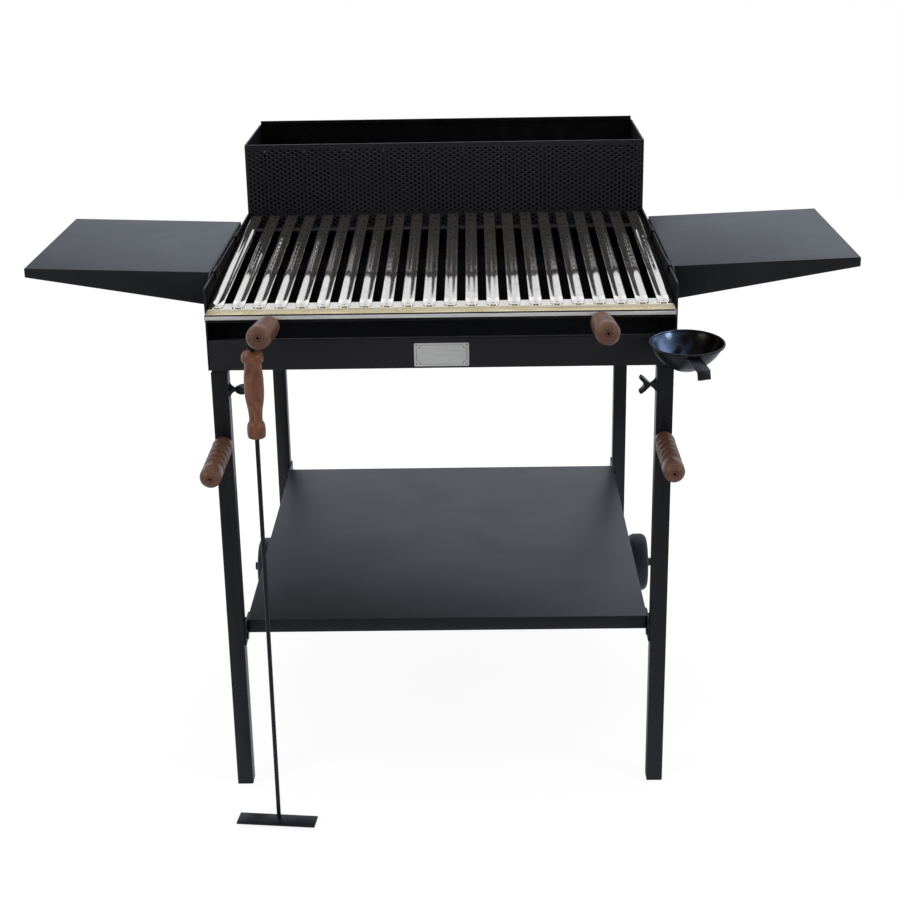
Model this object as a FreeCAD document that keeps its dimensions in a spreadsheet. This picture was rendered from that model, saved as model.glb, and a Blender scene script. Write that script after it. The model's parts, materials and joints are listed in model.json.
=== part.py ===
import FreeCAD, Part
import Sketcher
import math
import os

# Outdoor barbecue on four legs, in millimetres, +Z up, feet on z = 0.
# X runs to the right, Y to the rear. Heights and widths are the real ones. Depths below are
# measured from the front plane of the firebox, and front_y puts that plane in the part's frame.

SIZES = {
    # Firebox: sheet walls, open above, with a fire basket across its rear
    "box_width": 700.0,
    "box_depth": 776.0,
    "box_bottom": 709.0,
    "wall_height": 126.0,
    "wall_sheet": 3.0,
    "wall_corner": 8.0,
    "basket_front": 545.0,
    "basket_rise": 120.0,
    "rear_hem": 7.0,
    "lip_height": 47.0,
    "lip_hem": 8.0,
    "lip_round": 2.5,
    "panel_sheet": 2.0,
    "panel_overlap": 35.0,
    "panel_hem": 9.0,
    # Name plate on the lip
    "plate_width": 82.0,
    "plate_height": 36.0,
    "plate_sheet": 0.8,
    "plate_base": 3.0,
    "plate_corner": 2.0,
    "rivet_radius": 1.4,
    "rivet_inset": 3.6,
    "rivet_stand": 0.7,
    # Legs: square tubes slipped over stubs under the firebox
    "leg_side": 25.0,
    "leg_wall": 1.5,
    "leg_inset": 3.0,
    "leg_front": 2.0,
    "leg_gap": 4.0,
    "stub_length": 64.0,
    "stub_wall": 2.0,
    "stub_fit": 0.2,
    "foot_sole": 4.0,
    "foot_plug": 14.0,
    "plug_fit": 0.1,
    "rear_foot_drop": 13.0,
    "leg_bolt_drop": 22.0,
    # Wing screws that clamp the front legs, with their weld nuts
    "screw_drop": 34.0,
    "screw_radius": 3.0,
    "screw_fit": 0.1,
    "screw_hole_radius": 3.6,
    "nut_length": 8.0,
    "nut_radius": 11.5,
    "nut_nose": 4.6,
    "hub_gap": 4.0,
    "hub_length": 12.0,
    "hub_radius": 4.5,
    "wing_radius": 16.0,
    "wing_lobe": 6.0,
    "wing_thick": 2.6,
    "wing_turn_left": 84.0,
    "wing_turn_right": 4.0,
    # Wooden leg handles on through rods
    "leg_handle_drop": 119.0,
    "leg_handle_length": 150.0,
    "leg_handle_radius": 16.0,
    "leg_handle_waist": 13.4,
    "leg_handle_foot": 14.0,
    "leg_handle_first": 30.0,
    "leg_handle_plain": 21.0,
    "leg_handle_grooves": 5,
    "leg_handle_end": 9.0,
    "handle_rod_radius": 3.0,
    "handle_bore_fit": 0.1,
    "handle_rod_short": 12.0,
    "end_ring_radius": 5.4,
    "end_ring_depth": 0.9,
    "leg_nut_radius": 6.0,
    "leg_nut_length": 5.0,
    # Axle and wheels
    "wheel_radius": 58.0,
    "wheel_width": 36.0,
    "wheel_clear": 12.0,
    "tyre_shoulder": 9.0,
    "tyre_thick": 18.0,
    "hub_barrel": 15.0,
    "hub_web": 8.0,
    "hub_cone": 22.0,
    "hub_nose_radius": 10.0,
    "axle_radius": 5.0,
    "axle_fit": 0.1,
    "wheel_gap": 0.4,
    "spacer_radius": 9.0,
    "cap_radius": 8.0,
    "cap_length": 4.0,
    # Bottom shelf: a folded tray bolted to brackets on the legs
    "shelf_front": 26.0,
    "shelf_rear_gap": 33.0,
    "shelf_top": 285.0,
    "shelf_apron": 22.0,
    "shelf_sheet": 1.5,
    "shelf_corner": 4.0,
    "bracket_sheet": 3.0,
    "bracket_front": 5.0,
    "bracket_back": 60.0,
    "bracket_rear_run": 25.0,
    "bracket_drop": 13.0,
    "bracket_chamfer": 20.0,
    "bracket_bolt_drop": 11.0,
    "bracket_bolt_inset": 12.0,
    "bolt_radius": 3.0,
    "bolt_fit": 0.1,
    "bolt_head_radius": 5.5,
    "bolt_head": 3.0,
    "bolt_spare": 4.0,
    # Side shelves, hooked over the side walls
    "side_reach": 634.0,
    "side_front": 83.0,
    "side_rear": 448.0,
    "side_rise": 5.0,
    "side_lift": 9.5,
    "side_sheet": 2.0,
    "side_apron": 52.0,
    "side_tip": 14.0,
    "ear_reach": 45.0,
    "ear_flat": 2.0,
    "hang_gap": 0.3,
    "hook_width": 40.0,
    "hook_front_inset": 17.0,
    "hook_back_inset": 103.0,
    "hook_leg": 14.0,
    # Grill: shallow channel bars on a sloping frame with a drip gutter along its front
    "grill_drop": 28.0,
    "grill_gap": 5.0,
    "grill_slope": 2.75,
    "bar_count": 22,
    "bar_width": 19.0,
    "bar_margin_left": 0.4,
    "bar_margin_right": 3.1,
    "bar_sheet": 1.5,
    "bar_trough": 0.8,
    "bar_rim": 1.0,
    "bar_flat": 1.5,
    "bar_overhang": 0.5,
    "bar_round": 8.0,
    "bar_back_gap": 13.0,
    "frame_sheet": 1.5,
    "cross_width": 20.0,
    "cross_place": 436.0,
    "strip_back": 24.0,
    "strip_front": 4.0,
    "gutter_gap": 3.5,
    "gutter_drop": 9.7,
    "gutter_slant": 3.0,
    "gutter_front": 33.0,
    "gutter_rise": 2.0,
    "hem_radius": 3.0,
    "hem_drop": 3.8,
    "fold_share": 0.57,
    "drain_radius": 6.0,
    "drain_inset": 12.0,
    "rail_ledge": 12.0,
    "rail_sheet": 2.5,
    "rail_height": 20.0,
    "rail_back_gap": 20.0,
    "rest_gap": 0.2,
    # Wooden grill handles on rods under the gutter
    "grip_left_inset": 101.0,
    "grip_right_inset": 117.0,
    "grip_gap": 5.0,
    "grip_drop": 17.0,
    "grip_tilt": 8.5,
    "grip_length": 140.0,
    "grip_radius": 17.5,
    "grip_waist": 13.5,
    "grip_bead": 15.0,
    "grip_bead_length": 12.0,
    "grip_swell": 34.0,
    "grip_end": 9.0,
    "grip_rod_back": 34.0,
    "lug_half": 8.0,
    "lug_front": 30.0,
    "lug_back": 14.0,
    "lug_drop": 13.0,
    # Log grate in the fire basket
    "grate_rise": 81.0,
    "grate_gap": 4.0,
    "grate_bar_width": 20.0,
    "grate_bar_thick": 4.0,
    "grate_bar_front_inset": 30.0,
    "grate_bar_back_inset": 58.0,
    "grate_rods": 10,
    "grate_rod_margin": 28.0,
    "grate_rod_radius": 3.5,
    "grate_rod_front_gap": 11.5,
    "grate_rod_back_gap": 21.0,
    "grate_rod_drop": 13.0,
    "grate_rest_ledge": 12.0,
    "grate_rest_inset": 15.0,
    # Rake, hung by its eye on a hook on the lip
    "rake_beside": 19.0,
    "rake_depth": -108.0,
    "rake_rod_radius": 3.25,
    "rake_rod_bottom": 9.0,
    "rake_drop": 19.0,
    "rake_rod_stand": 1.0,
    "rake_wood_length": 130.0,
    "rake_bead": 13.2,
    "rake_bead_length": 10.0,
    "rake_neck": 10.0,
    "rake_neck_place": 18.0,
    "rake_body": 14.0,
    "rake_body_drop": 56.0,
    "rake_collar": 12.6,
    "rake_collar_drop": 17.0,
    "rake_knob": 16.0,
    "rake_knob_length": 13.0,
    "rake_round": 4.0,
    "eye_inner": 4.6,
    "eye_wire": 1.6,
    "blade_length": 124.0,
    "blade_width": 30.0,
    "blade_ahead": 12.0,
    "blade_sheet": 3.0,
    "blade_turn": 6.0,
    "hook_wire": 3.0,
    "hook_seat": 0.3,
    "hook_rise": 33.0,
    "hook_bend": 10.0,
    "hook_tip_bend": 8.0,
    "hook_ahead": 4.0,
    # Drip bowl, hung by a bolt in a slotted bracket on the right wall
    "bowl_aside": 6.0,
    "bowl_lean": 8.5,
    "bowl_rise": 52.0,
    "bowl_rim_radius": 56.0,
    "bowl_rim_roll": 2.0,
    "bowl_depth": 38.0,
    "bowl_tilt": 4.0,
    "bowl_sheet": 1.5,
    "bowl_flat": 18.0,
    "bowl_curve": 78.0,
    "bowl_bolt_inward": 6.0,
    "bowl_bolt_drop": 17.0,
    "bowl_bolt_head": 5.5,
    "bowl_bolt_reach": 17.5,
    "bowl_bolt_nut": 4.0,
    "bowl_flange_front": 16.0,
    "bowl_flange_sheet": 3.0,
    "bowl_flange_half": 10.0,
    "bowl_flange_under": 16.0,
    "bowl_flange_over": 5.0,
    "bowl_arm_height": 10.0,
    "bowl_arm_back": 45.0,
    "strap_width": 20.0,
    "strap_sheet": 2.5,
    "strap_turn": 22.0,
    "strap_inset": 9.0,
    "strap_side": 3.0,
    "strap_start_drop": 6.0,
    "strap_length": 34.0,
    "strap_fall": 12.0,
    "strap_tab": 13.0,
    # One overrun for every cut
    "overrun": 2.0,
}

doc = FreeCAD.newDocument("Barbecue")
sheet = doc.addObject("Spreadsheet::Sheet", "Sizes")
for row, (alias, value) in enumerate(SIZES.items(), start=1):
    sheet.set("A%d" % row, alias)
    sheet.set("B%d" % row, str(value))
    sheet.setAlias("B%d" % row, alias)
doc.recompute()

X_AXIS = FreeCAD.Vector(1, 0, 0)
Y_AXIS = FreeCAD.Vector(0, 1, 0)
Z_AXIS = FreeCAD.Vector(0, 0, 1)
QUARTER_TURN = 90
FULL_TURN = 360


class Size:
    """A length, angle or ratio: its number, and the same thing as an expression on the sheet."""

    def __init__(self, number, text):
        self.number = number
        self.text = text

    def __add__(self, other):
        other = size(other)
        return Size(self.number + other.number, "(%s + %s)" % (self.text, other.text))

    def __sub__(self, other):
        other = size(other)
        return Size(self.number - other.number, "(%s - %s)" % (self.text, other.text))

    def __mul__(self, other):
        other = size(other)
        return Size(self.number * other.number, "(%s * %s)" % (self.text, other.text))

    def __truediv__(self, other):
        other = size(other)
        return Size(self.number / other.number, "(%s / %s)" % (self.text, other.text))

    def __radd__(self, other):
        return size(other) + self

    def __rsub__(self, other):
        return size(other) - self

    def __rmul__(self, other):
        return size(other) * self

    def __neg__(self):
        return size(0) - self


def size(value):
    """Any number as a Size."""
    if isinstance(value, Size):
        return value
    return Size(float(value), repr(float(value)))


class Names:
    """Gives each named size of the sheet as an attribute."""

    def __getattr__(self, alias):
        return Size(float(getattr(sheet, alias)), "Sizes." + alias)


def cosine(angle):
    return Size(math.cos(math.radians(angle.number)), "cos(%s * 1 deg)" % angle.text)


def sine(angle):
    return Size(math.sin(math.radians(angle.number)), "sin(%s * 1 deg)" % angle.text)


def tangent(angle):
    return Size(math.tan(math.radians(angle.number)), "tan(%s * 1 deg)" % angle.text)


def arc_radius(chord, rise):
    """Radius of the arc that rises by rise over chord."""
    return (chord * chord / 4 + rise * rise) / (rise * 2)


d = Names()
count = {}


def unused_name(kind):
    """A document name for a helper object."""
    count[kind] = count.get(kind, 0) + 1
    return "%s_%d" % (kind, count[kind])


def bind(item, prop, value):
    """Ties one property to the sheet."""
    item.setExpression(prop, size(value).text)


def place(item, x=0, y=0, z=0, axis=None, angle=None, turn=None):
    """Puts an object at x, y, z, turned by a fixed turn or by a bound angle about an axis."""
    if axis is not None:
        item.Placement.Rotation = FreeCAD.Rotation(axis, 1)
        item.setExpression("Placement.Rotation.Angle", "%s * 1 deg" % size(angle).text)
    if turn is not None:
        item.Placement.Rotation = turn
    bind(item, "Placement.Base.x", x)
    bind(item, "Placement.Base.y", y)
    bind(item, "Placement.Base.z", z)
    return item


def block(x, y, z):
    """A box between the two values of each of x, y and z."""
    item = doc.addObject("Part::Box", unused_name("Block"))
    bind(item, "Length", x[1] - x[0])
    bind(item, "Width", y[1] - y[0])
    bind(item, "Height", z[1] - z[0])
    return place(item, x[0], y[0], z[0])


ALONG_X = FreeCAD.Rotation(Y_AXIS, QUARTER_TURN)
ALONG_Y = FreeCAD.Rotation(X_AXIS, -QUARTER_TURN)
ALONG_Z = FreeCAD.Rotation()


def rod(turn, x, y, z, radius, length):
    """A round rod that starts at x, y, z and runs along the turned Z axis."""
    item = doc.addObject("Part::Cylinder", unused_name("Rod"))
    bind(item, "Radius", radius)
    bind(item, "Height", length)
    return place(item, x, y, z, turn=turn)


def cone(turn, x, y, z, start_radius, end_radius, length):
    """A cone frustum that starts at x, y, z and runs along the turned Z axis."""
    item = doc.addObject("Part::Cone", unused_name("Cone"))
    bind(item, "Radius1", start_radius)
    bind(item, "Radius2", end_radius)
    bind(item, "Height", length)
    return place(item, x, y, z, turn=turn)


def ring(turn, x, y, z, radius, wire, sweep=FULL_TURN):
    """A ring, or an arc of one, of round wire about the turned Z axis."""
    item = doc.addObject("Part::Torus", unused_name("Ring"))
    bind(item, "Radius1", radius)
    bind(item, "Radius2", wire)
    item.Angle3 = sweep
    return place(item, x, y, z, turn=turn)


def fused(*items):
    item = doc.addObject("Part::MultiFuse", unused_name("Fusion"))
    item.Shapes = list(items)
    return item


def together(*items):
    item = doc.addObject("Part::Compound", unused_name("Group"))
    item.Links = list(items)
    return item


def cut(base, *tools):
    item = doc.addObject("Part::Cut", unused_name("Cut"))
    item.Base = base
    item.Tool = tools[0] if len(tools) == 1 else together(*tools)
    return item


def mirrored(source):
    """The same thing on the other side of the plane x = 0."""
    item = doc.addObject("Part::Mirroring", unused_name("Mirrored"))
    item.Source = source
    item.Normal = X_AXIS
    return item


def origin_feature(body, role):
    return [item for item in body.Origin.OriginFeatures if item.Role == role][0]


def sketched(body, plane, corners, offset=0):
    """A closed outline in a sketch. A corner is (across, up), joined to the one before it by a
    line, or (across, up, radius, turn), joined by an arc that turns left (1) or right (-1)."""
    sketch = body.newObject("Sketcher::SketchObject", unused_name("Sketch"))
    sketch.AttachmentSupport = [(origin_feature(body, plane), "")]
    sketch.MapMode = "FlatFace"
    bind(sketch, "AttachmentOffset.Base.z", offset)
    corners = [tuple(size(value) for value in corner[:3]) + corner[3:] for corner in corners]
    spots = [FreeCAD.Vector(corner[0].number, corner[1].number, 0) for corner in corners]
    ends = []
    for index, corner in enumerate(corners):
        start, end = spots[index - 1], spots[index]
        if len(corner) == 2:
            edge = sketch.addGeometry(Part.LineSegment(start, end), False)
            ends.append((edge, 1, 2))
            continue
        radius, side = corner[2].number, corner[3]
        chord = end - start
        lift = math.sqrt(max(radius ** 2 - chord.Length ** 2 / 4, 0))
        normal = FreeCAD.Vector(-chord.y, chord.x, 0) / chord.Length
        centre = (start + end) / 2 + normal * lift * side
        first, last = (start, end) if side > 0 else (end, start)
        angles = [math.atan2(spot.y - centre.y, spot.x - centre.x) for spot in (first, last)]
        circle = Part.Circle(centre, Z_AXIS, radius)
        edge = sketch.addGeometry(Part.ArcOfCircle(circle, angles[0], angles[1]), False)
        ends.append((edge, 1, 2) if side > 0 else (edge, 2, 1))
    for index, corner in enumerate(corners):
        edge, start, end = ends[index]
        following = ends[(index + 1) % len(corners)]
        sketch.addConstraint(Sketcher.Constraint("Coincident", edge, end, following[0], following[1]))
        for kind, value in (("DistanceX", corner[0]), ("DistanceY", corner[1])):
            rule = Sketcher.Constraint(kind, -1, 1, edge, end, value.number)
            bind(sketch, "Constraints[%d]" % sketch.addConstraint(rule), value)
        if len(corner) > 2:
            rule = Sketcher.Constraint("Radius", edge, corner[2].number)
            bind(sketch, "Constraints[%d]" % sketch.addConstraint(rule), corner[2])
    return sketch


def extruded(plane, corners, start, end):
    """An outline made solid from start to end along the plane's own axis."""
    body = doc.addObject("PartDesign::Body", unused_name("Body"))
    offset = -end if plane == "XZ_Plane" else start
    pad = body.newObject("PartDesign::Pad", unused_name("Pad"))
    pad.Profile = sketched(body, plane, corners, offset)
    bind(pad, "Length", end - start)
    body.Tip = pad
    return body


def turned(corners):
    """A half section (radius, height) turned about the body's own Z axis."""
    body = doc.addObject("PartDesign::Body", unused_name("Body"))
    outline = sketched(body, "XZ_Plane", corners)
    lathe = body.newObject("PartDesign::Revolution", unused_name("Revolution"))
    lathe.Profile = outline
    lathe.ReferenceAxis = (outline, ["V_Axis"])
    lathe.Angle = FULL_TURN
    body.Tip = lathe
    return body


def trimmed(body, corners):
    """An outline in the body's XY plane, cut right through it."""
    trim = body.newObject("PartDesign::Pocket", unused_name("Pocket"))
    trim.Profile = sketched(body, "XY_Plane", corners)
    trim.Type = "ThroughAll"
    trim.Midplane = True
    body.Tip = trim
    return trim


def repeated(body, originals, role, step, copies):
    """Copies of features along one of the body's own axes."""
    body.AllowCompound = True
    pattern = body.newObject("PartDesign::LinearPattern", unused_name("Pattern"))
    pattern.Originals = originals
    pattern.Direction = (origin_feature(body, role), [""])
    pattern.Mode = "Spacing"
    bind(pattern, "Offset", step)
    bind(pattern, "Occurrences", copies)
    body.Tip = pattern
    return body


# Where things lie
half_box = d.box_width / 2
wall_inner = half_box - d.wall_sheet
wall_top = d.box_bottom + d.wall_height
basket_top = wall_top + d.basket_rise
rear_wall_front = d.box_depth - d.wall_sheet
leg_outer = half_box - d.leg_inset
leg_inner = leg_outer - d.leg_side
leg_middle = leg_outer - d.leg_side / 2
leg_top = d.box_bottom - d.leg_gap
leg_rear = d.box_depth - d.leg_inset - d.leg_side
leg_centre_front = d.leg_front + d.leg_side / 2
axle_depth = leg_rear + d.leg_side / 2
grill_height = wall_top - d.grill_drop
grip_height = grill_height - d.grip_drop
grip_left = d.grip_left_inset - half_box
grip_right = half_box - d.grip_right_inset
grip_root = d.gutter_front + d.gutter_rise + d.hem_radius * 2 + d.grip_gap
grip_arc = d.grip_length - d.grip_end
grip_flat = d.grip_radius - d.grip_end
front_reach = grip_root + grip_arc * cosine(d.grip_tilt) + grip_flat * sine(d.grip_tilt) + d.grip_end
rear_reach = axle_depth + d.wheel_radius
front_y = (front_reach - rear_reach) / 2

parts = []


def part(name, item, x=0, y=0, z=0, axis=None, angle=None, turn=None):
    """Registers a finished sub-part, moved from the firebox's front plane to the part's frame."""
    if item.isDerivedFrom("Part::Primitive"):
        item = together(item)
    place(item, x, y + front_y, z, axis, angle, turn)
    return labelled(name, item)


def labelled(name, item):
    item.Label = name
    parts.append(item)
    return item


def other_side(name, source):
    """The mirror image of a finished sub-part, as a sub-part of its own."""
    return labelled(name, mirrored(source))


# Firebox
lip_top = d.box_bottom + d.lip_height
floor_top = d.box_bottom + d.wall_sheet
rear_top = basket_top + d.rear_hem

side_wall = extruded("YZ_Plane", [
    (0, d.box_bottom),
    (d.box_depth, d.box_bottom),
    (d.box_depth, basket_top),
    (d.basket_front, basket_top),
    (d.basket_front, wall_top),
    (d.wall_corner, wall_top),
    (0, wall_top - d.wall_corner, d.wall_corner, 1),
], wall_inner, half_box)
part("side_wall_right", side_wall)
other_side("side_wall_left", side_wall)

part("firebox_floor", block((-wall_inner, wall_inner), (d.wall_sheet, rear_wall_front),
                            (d.box_bottom, floor_top)))

part("front_lip", extruded("YZ_Plane", [
    (0, d.box_bottom),
    (d.wall_sheet, d.box_bottom),
    (d.wall_sheet, lip_top - d.wall_sheet),
    (d.lip_hem, lip_top - d.wall_sheet),
    (d.lip_hem, lip_top),
    (d.lip_round, lip_top),
    (0, lip_top - d.lip_round, d.lip_round, 1),
], -wall_inner, wall_inner))

part("rear_wall", extruded("YZ_Plane", [
    (rear_wall_front, d.box_bottom),
    (d.box_depth, d.box_bottom),
    (d.box_depth, rear_top),
    (rear_wall_front - d.wall_sheet, rear_top),
    (rear_wall_front - d.wall_sheet, basket_top),
    (rear_wall_front, basket_top),
], -wall_inner, wall_inner))

panel_bottom = wall_top - d.panel_overlap
panel_back = d.basket_front + d.panel_sheet
part("perforated_panel", extruded("YZ_Plane", [
    (d.basket_front, panel_bottom),
    (panel_back, panel_bottom),
    (panel_back, basket_top - d.panel_hem),
    (panel_back + d.panel_sheet, basket_top - d.panel_hem),
    (panel_back + d.panel_sheet, basket_top),
    (d.basket_front, basket_top),
], -wall_inner, wall_inner))

# Name plate, bare, on four rivets
plate_half = d.plate_width / 2
plate_low = d.box_bottom + d.plate_base
plate_high = plate_low + d.plate_height
name_plate = extruded("XZ_Plane", [
    (-plate_half, plate_low + d.plate_corner),
    (-plate_half + d.plate_corner, plate_low, d.plate_corner, 1),
    (plate_half - d.plate_corner, plate_low),
    (plate_half, plate_low + d.plate_corner, d.plate_corner, 1),
    (plate_half, plate_high - d.plate_corner),
    (plate_half - d.plate_corner, plate_high, d.plate_corner, 1),
    (-plate_half + d.plate_corner, plate_high),
    (-plate_half, plate_high - d.plate_corner, d.plate_corner, 1),
], -d.plate_sheet, size(0))
part("name_plate", name_plate)

rivets = []
for rivet_x in (plate_half - d.rivet_inset, d.rivet_inset - plate_half):
    for rivet_z in (plate_low + d.rivet_inset, plate_high - d.rivet_inset):
        rivets.append(cone(ALONG_Y, rivet_x, -d.plate_sheet - d.rivet_stand, rivet_z,
                           d.rivet_radius / 2, d.rivet_radius, d.rivet_stand))
part("plate_rivets", together(*rivets))

# Legs and the stubs that they slip over
screw_height = d.box_bottom - d.screw_drop
leg_handle_height = d.box_bottom - d.leg_handle_drop
leg_hole = d.handle_rod_radius + d.handle_bore_fit
bolt_hole = d.bolt_radius + d.bolt_fit
bracket_bolt_height = d.shelf_top - d.shelf_apron
rear_bolt_height = d.box_bottom - d.leg_bolt_drop
axle_hole = d.axle_radius + d.axle_fit


def tube(front, low, high, wall, side, middle_x=leg_middle):
    """A square tube, its middle at middle_x and at the depth front + half a leg."""
    middle_y = front + d.leg_side / 2
    half, bore = side / 2, side / 2 - wall
    outer = block((middle_x - half, middle_x + half), (middle_y - half, middle_y + half), (low, high))
    inner = block((middle_x - bore, middle_x + bore), (middle_y - bore, middle_y + bore),
                  (low - d.overrun, high + d.overrun))
    return cut(outer, inner)


def inner_wall_hole(depth, height, radius):
    """A hole along X through the inward wall of a leg."""
    return rod(ALONG_X, leg_inner - d.overrun, depth, height, radius, d.leg_wall + d.overrun * 2)


front_leg = cut(
    tube(d.leg_front, d.foot_sole, leg_top, d.leg_wall, d.leg_side),
    inner_wall_hole(leg_centre_front, screw_height, d.screw_hole_radius),
    inner_wall_hole(leg_centre_front, bracket_bolt_height, bolt_hole),
    rod(ALONG_Y, leg_middle, d.leg_front - d.overrun, leg_handle_height, leg_hole,
        d.leg_side + d.overrun * 2))
part("leg_front_right", front_leg)
other_side("leg_front_left", front_leg)

rear_leg_bottom = d.wheel_radius - d.rear_foot_drop
rear_leg = cut(
    tube(leg_rear, rear_leg_bottom, leg_top, d.leg_wall, d.leg_side),
    inner_wall_hole(axle_depth, bracket_bolt_height, bolt_hole),
    rod(ALONG_X, leg_inner - d.overrun, axle_depth, d.wheel_radius, axle_hole,
        d.leg_side + d.overrun * 2),
    rod(ALONG_Y, leg_middle, leg_rear + d.leg_side - d.leg_wall - d.overrun, rear_bolt_height,
        bolt_hole, d.leg_wall + d.overrun * 2))
part("leg_rear_right", rear_leg)
other_side("leg_rear_left", rear_leg)

stub_side = d.leg_side - (d.leg_wall + d.stub_fit) * 2
stub_bottom = d.box_bottom - d.stub_length
front_stub = tube(d.leg_front, stub_bottom, d.box_bottom, d.stub_wall, stub_side)
rear_stub = cut(
    tube(leg_rear, stub_bottom, d.box_bottom, d.stub_wall, stub_side),
    rod(ALONG_Y, leg_middle, leg_rear + d.leg_side / 2, rear_bolt_height, bolt_hole, d.leg_side))
part("leg_stubs", together(front_stub, rear_stub, mirrored(front_stub), mirrored(rear_stub)))

rear_leg_back = leg_rear + d.leg_side
rear_bolt = fused(
    rod(ALONG_Y, leg_middle, rear_leg_back - d.bolt_spare * 2, rear_bolt_height, d.bolt_radius,
        d.bolt_spare * 2 + d.bolt_head),
    rod(ALONG_Y, leg_middle, rear_leg_back, rear_bolt_height, d.bolt_head_radius, d.bolt_head))
part("rear_leg_bolts", together(rear_bolt, mirrored(rear_bolt)))

# Foot plugs: a sole the size of the tube under a square plug inside it
plug_half = d.leg_side / 2 - d.leg_wall - d.plug_fit
leg_half = d.leg_side / 2


def foot(front, low):
    middle_y = front + leg_half
    return fused(
        block((leg_inner, leg_outer), (front, front + d.leg_side), (low, low + d.foot_sole)),
        block((leg_middle - plug_half, leg_middle + plug_half),
              (middle_y - plug_half, middle_y + plug_half),
              (low + d.foot_sole / 2, low + d.foot_sole + d.foot_plug)))


front_foot = foot(d.leg_front, size(0))
part("foot_plugs", together(front_foot, mirrored(front_foot)))

rear_plug_low = rear_leg_bottom - d.foot_sole
rear_foot = block((leg_inner, leg_outer), (leg_rear, rear_leg_back), (rear_plug_low, rear_leg_bottom))
part("rear_leg_caps", together(rear_foot, mirrored(rear_foot)))

# Weld nuts and wing screws on the inner faces of the front legs
nut_face = leg_inner - d.nut_length
weld_nut = cut(
    cone(ALONG_X, nut_face, leg_centre_front, screw_height, d.nut_nose, d.nut_radius, d.nut_length),
    rod(ALONG_X, nut_face - d.overrun, leg_centre_front, screw_height, d.screw_radius + d.screw_fit,
        d.nut_length + d.overrun * 2))
part("weld_nuts", together(weld_nut, mirrored(weld_nut)))

hub_end = nut_face - d.hub_gap
hub_start = hub_end - d.hub_length
screw_tip = leg_inner + d.leg_wall
lobe_place = d.wing_radius - d.wing_lobe
wing_middle = hub_start + d.wing_lobe / 2


def wing_screw():
    """A screw along X with a hub and two flat wings, up and down."""
    wings = [
        rod(ALONG_X, hub_end - d.hub_length / 2, 0, 0, d.screw_radius,
            screw_tip - hub_end + d.hub_length / 2),
        rod(ALONG_X, hub_start, 0, 0, d.hub_radius, d.hub_length),
        block((wing_middle - d.wing_lobe / 2, wing_middle + d.wing_lobe),
              (-d.wing_thick / 2, d.wing_thick / 2), (-lobe_place, lobe_place)),
    ]
    for lobe_z in (lobe_place, -lobe_place):
        wings.append(rod(ALONG_Y, wing_middle, -d.wing_thick / 2, lobe_z, d.wing_lobe, d.wing_thick))
    return fused(*wings)


part("wing_screw_right", wing_screw(), 0, leg_centre_front, screw_height, X_AXIS, d.wing_turn_right)
left_screw = place(wing_screw(), 0, leg_centre_front + front_y, screw_height, X_AXIS, d.wing_turn_left)
labelled("wing_screw_left", mirrored(left_screw))

# Wooden leg handles: five turned grooves, a rounded end with a ring and a rod through the leg
handle_bore = d.handle_rod_radius + d.handle_bore_fit


def ringed_end(radius, length, rounding):
    """The rounded free end of a turned handle, with a ring groove and the mouth of its bore."""
    return [
        (radius, length - rounding),
        (radius - rounding, length, rounding, 1),
        (d.end_ring_radius + d.end_ring_depth, length),
        (d.end_ring_radius, length - d.end_ring_depth),
        (d.end_ring_radius - d.end_ring_depth, length),
        (handle_bore, length),
    ]


lobe_rise = d.leg_handle_radius - d.leg_handle_waist
grooved_length = d.leg_handle_length - d.leg_handle_first - d.leg_handle_plain - d.leg_handle_end
leg_handle_pitch = grooved_length * 2 / (d.leg_handle_grooves * 2 - 1)
grooved = [(handle_bore, 0), (d.leg_handle_foot, 0)]
grooved.append((d.leg_handle_waist, d.leg_handle_first,
                arc_radius(d.leg_handle_first, lobe_rise), 1))
for groove in range(1, int(d.leg_handle_grooves.number)):
    grooved.append((d.leg_handle_waist, d.leg_handle_first + leg_handle_pitch * groove,
                    arc_radius(leg_handle_pitch, lobe_rise), 1))
last_groove = d.leg_handle_first + leg_handle_pitch * (d.leg_handle_grooves - 1)
grooved.append((d.leg_handle_radius, last_groove + leg_handle_pitch / 2))
grooved += ringed_end(d.leg_handle_radius, d.leg_handle_length, d.leg_handle_end)
leg_handle = part("leg_handle_right", turned(grooved), leg_middle, d.leg_front, leg_handle_height,
                  turn=FreeCAD.Rotation(X_AXIS, QUARTER_TURN))
other_side("leg_handle_left", leg_handle)

leg_back = d.leg_front + d.leg_side
leg_rod_length = d.leg_handle_length - d.handle_rod_short + d.leg_side + d.leg_nut_length
leg_rod_start = d.leg_front - d.leg_handle_length + d.handle_rod_short
leg_rod = fused(
    rod(ALONG_Y, leg_middle, leg_rod_start, leg_handle_height, d.handle_rod_radius, leg_rod_length),
    rod(ALONG_Y, leg_middle, leg_back, leg_handle_height, d.leg_nut_radius, d.leg_nut_length))
part("leg_handle_rods", together(leg_rod, mirrored(leg_rod)))

# Axle, spacers, wheels and end caps
wheel_inner = leg_outer + d.wheel_clear
wheel_outer = wheel_inner + d.wheel_width
tyre_bore = d.wheel_radius - d.tyre_thick
cap_start = wheel_outer + d.hub_nose_radius / 2 + d.wheel_gap
axle_half = cap_start + d.cap_length / 2
part("axle", rod(ALONG_X, -axle_half, axle_depth, d.wheel_radius, d.axle_radius, axle_half * 2))

spacer = cut(
    rod(ALONG_X, leg_outer, axle_depth, d.wheel_radius, d.spacer_radius,
        wheel_inner - leg_outer - d.wheel_gap),
    rod(ALONG_X, leg_outer - d.overrun, axle_depth, d.wheel_radius, axle_hole,
        wheel_inner - leg_outer + d.overrun * 2))
part("axle_spacers", together(spacer, mirrored(spacer)))

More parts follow.
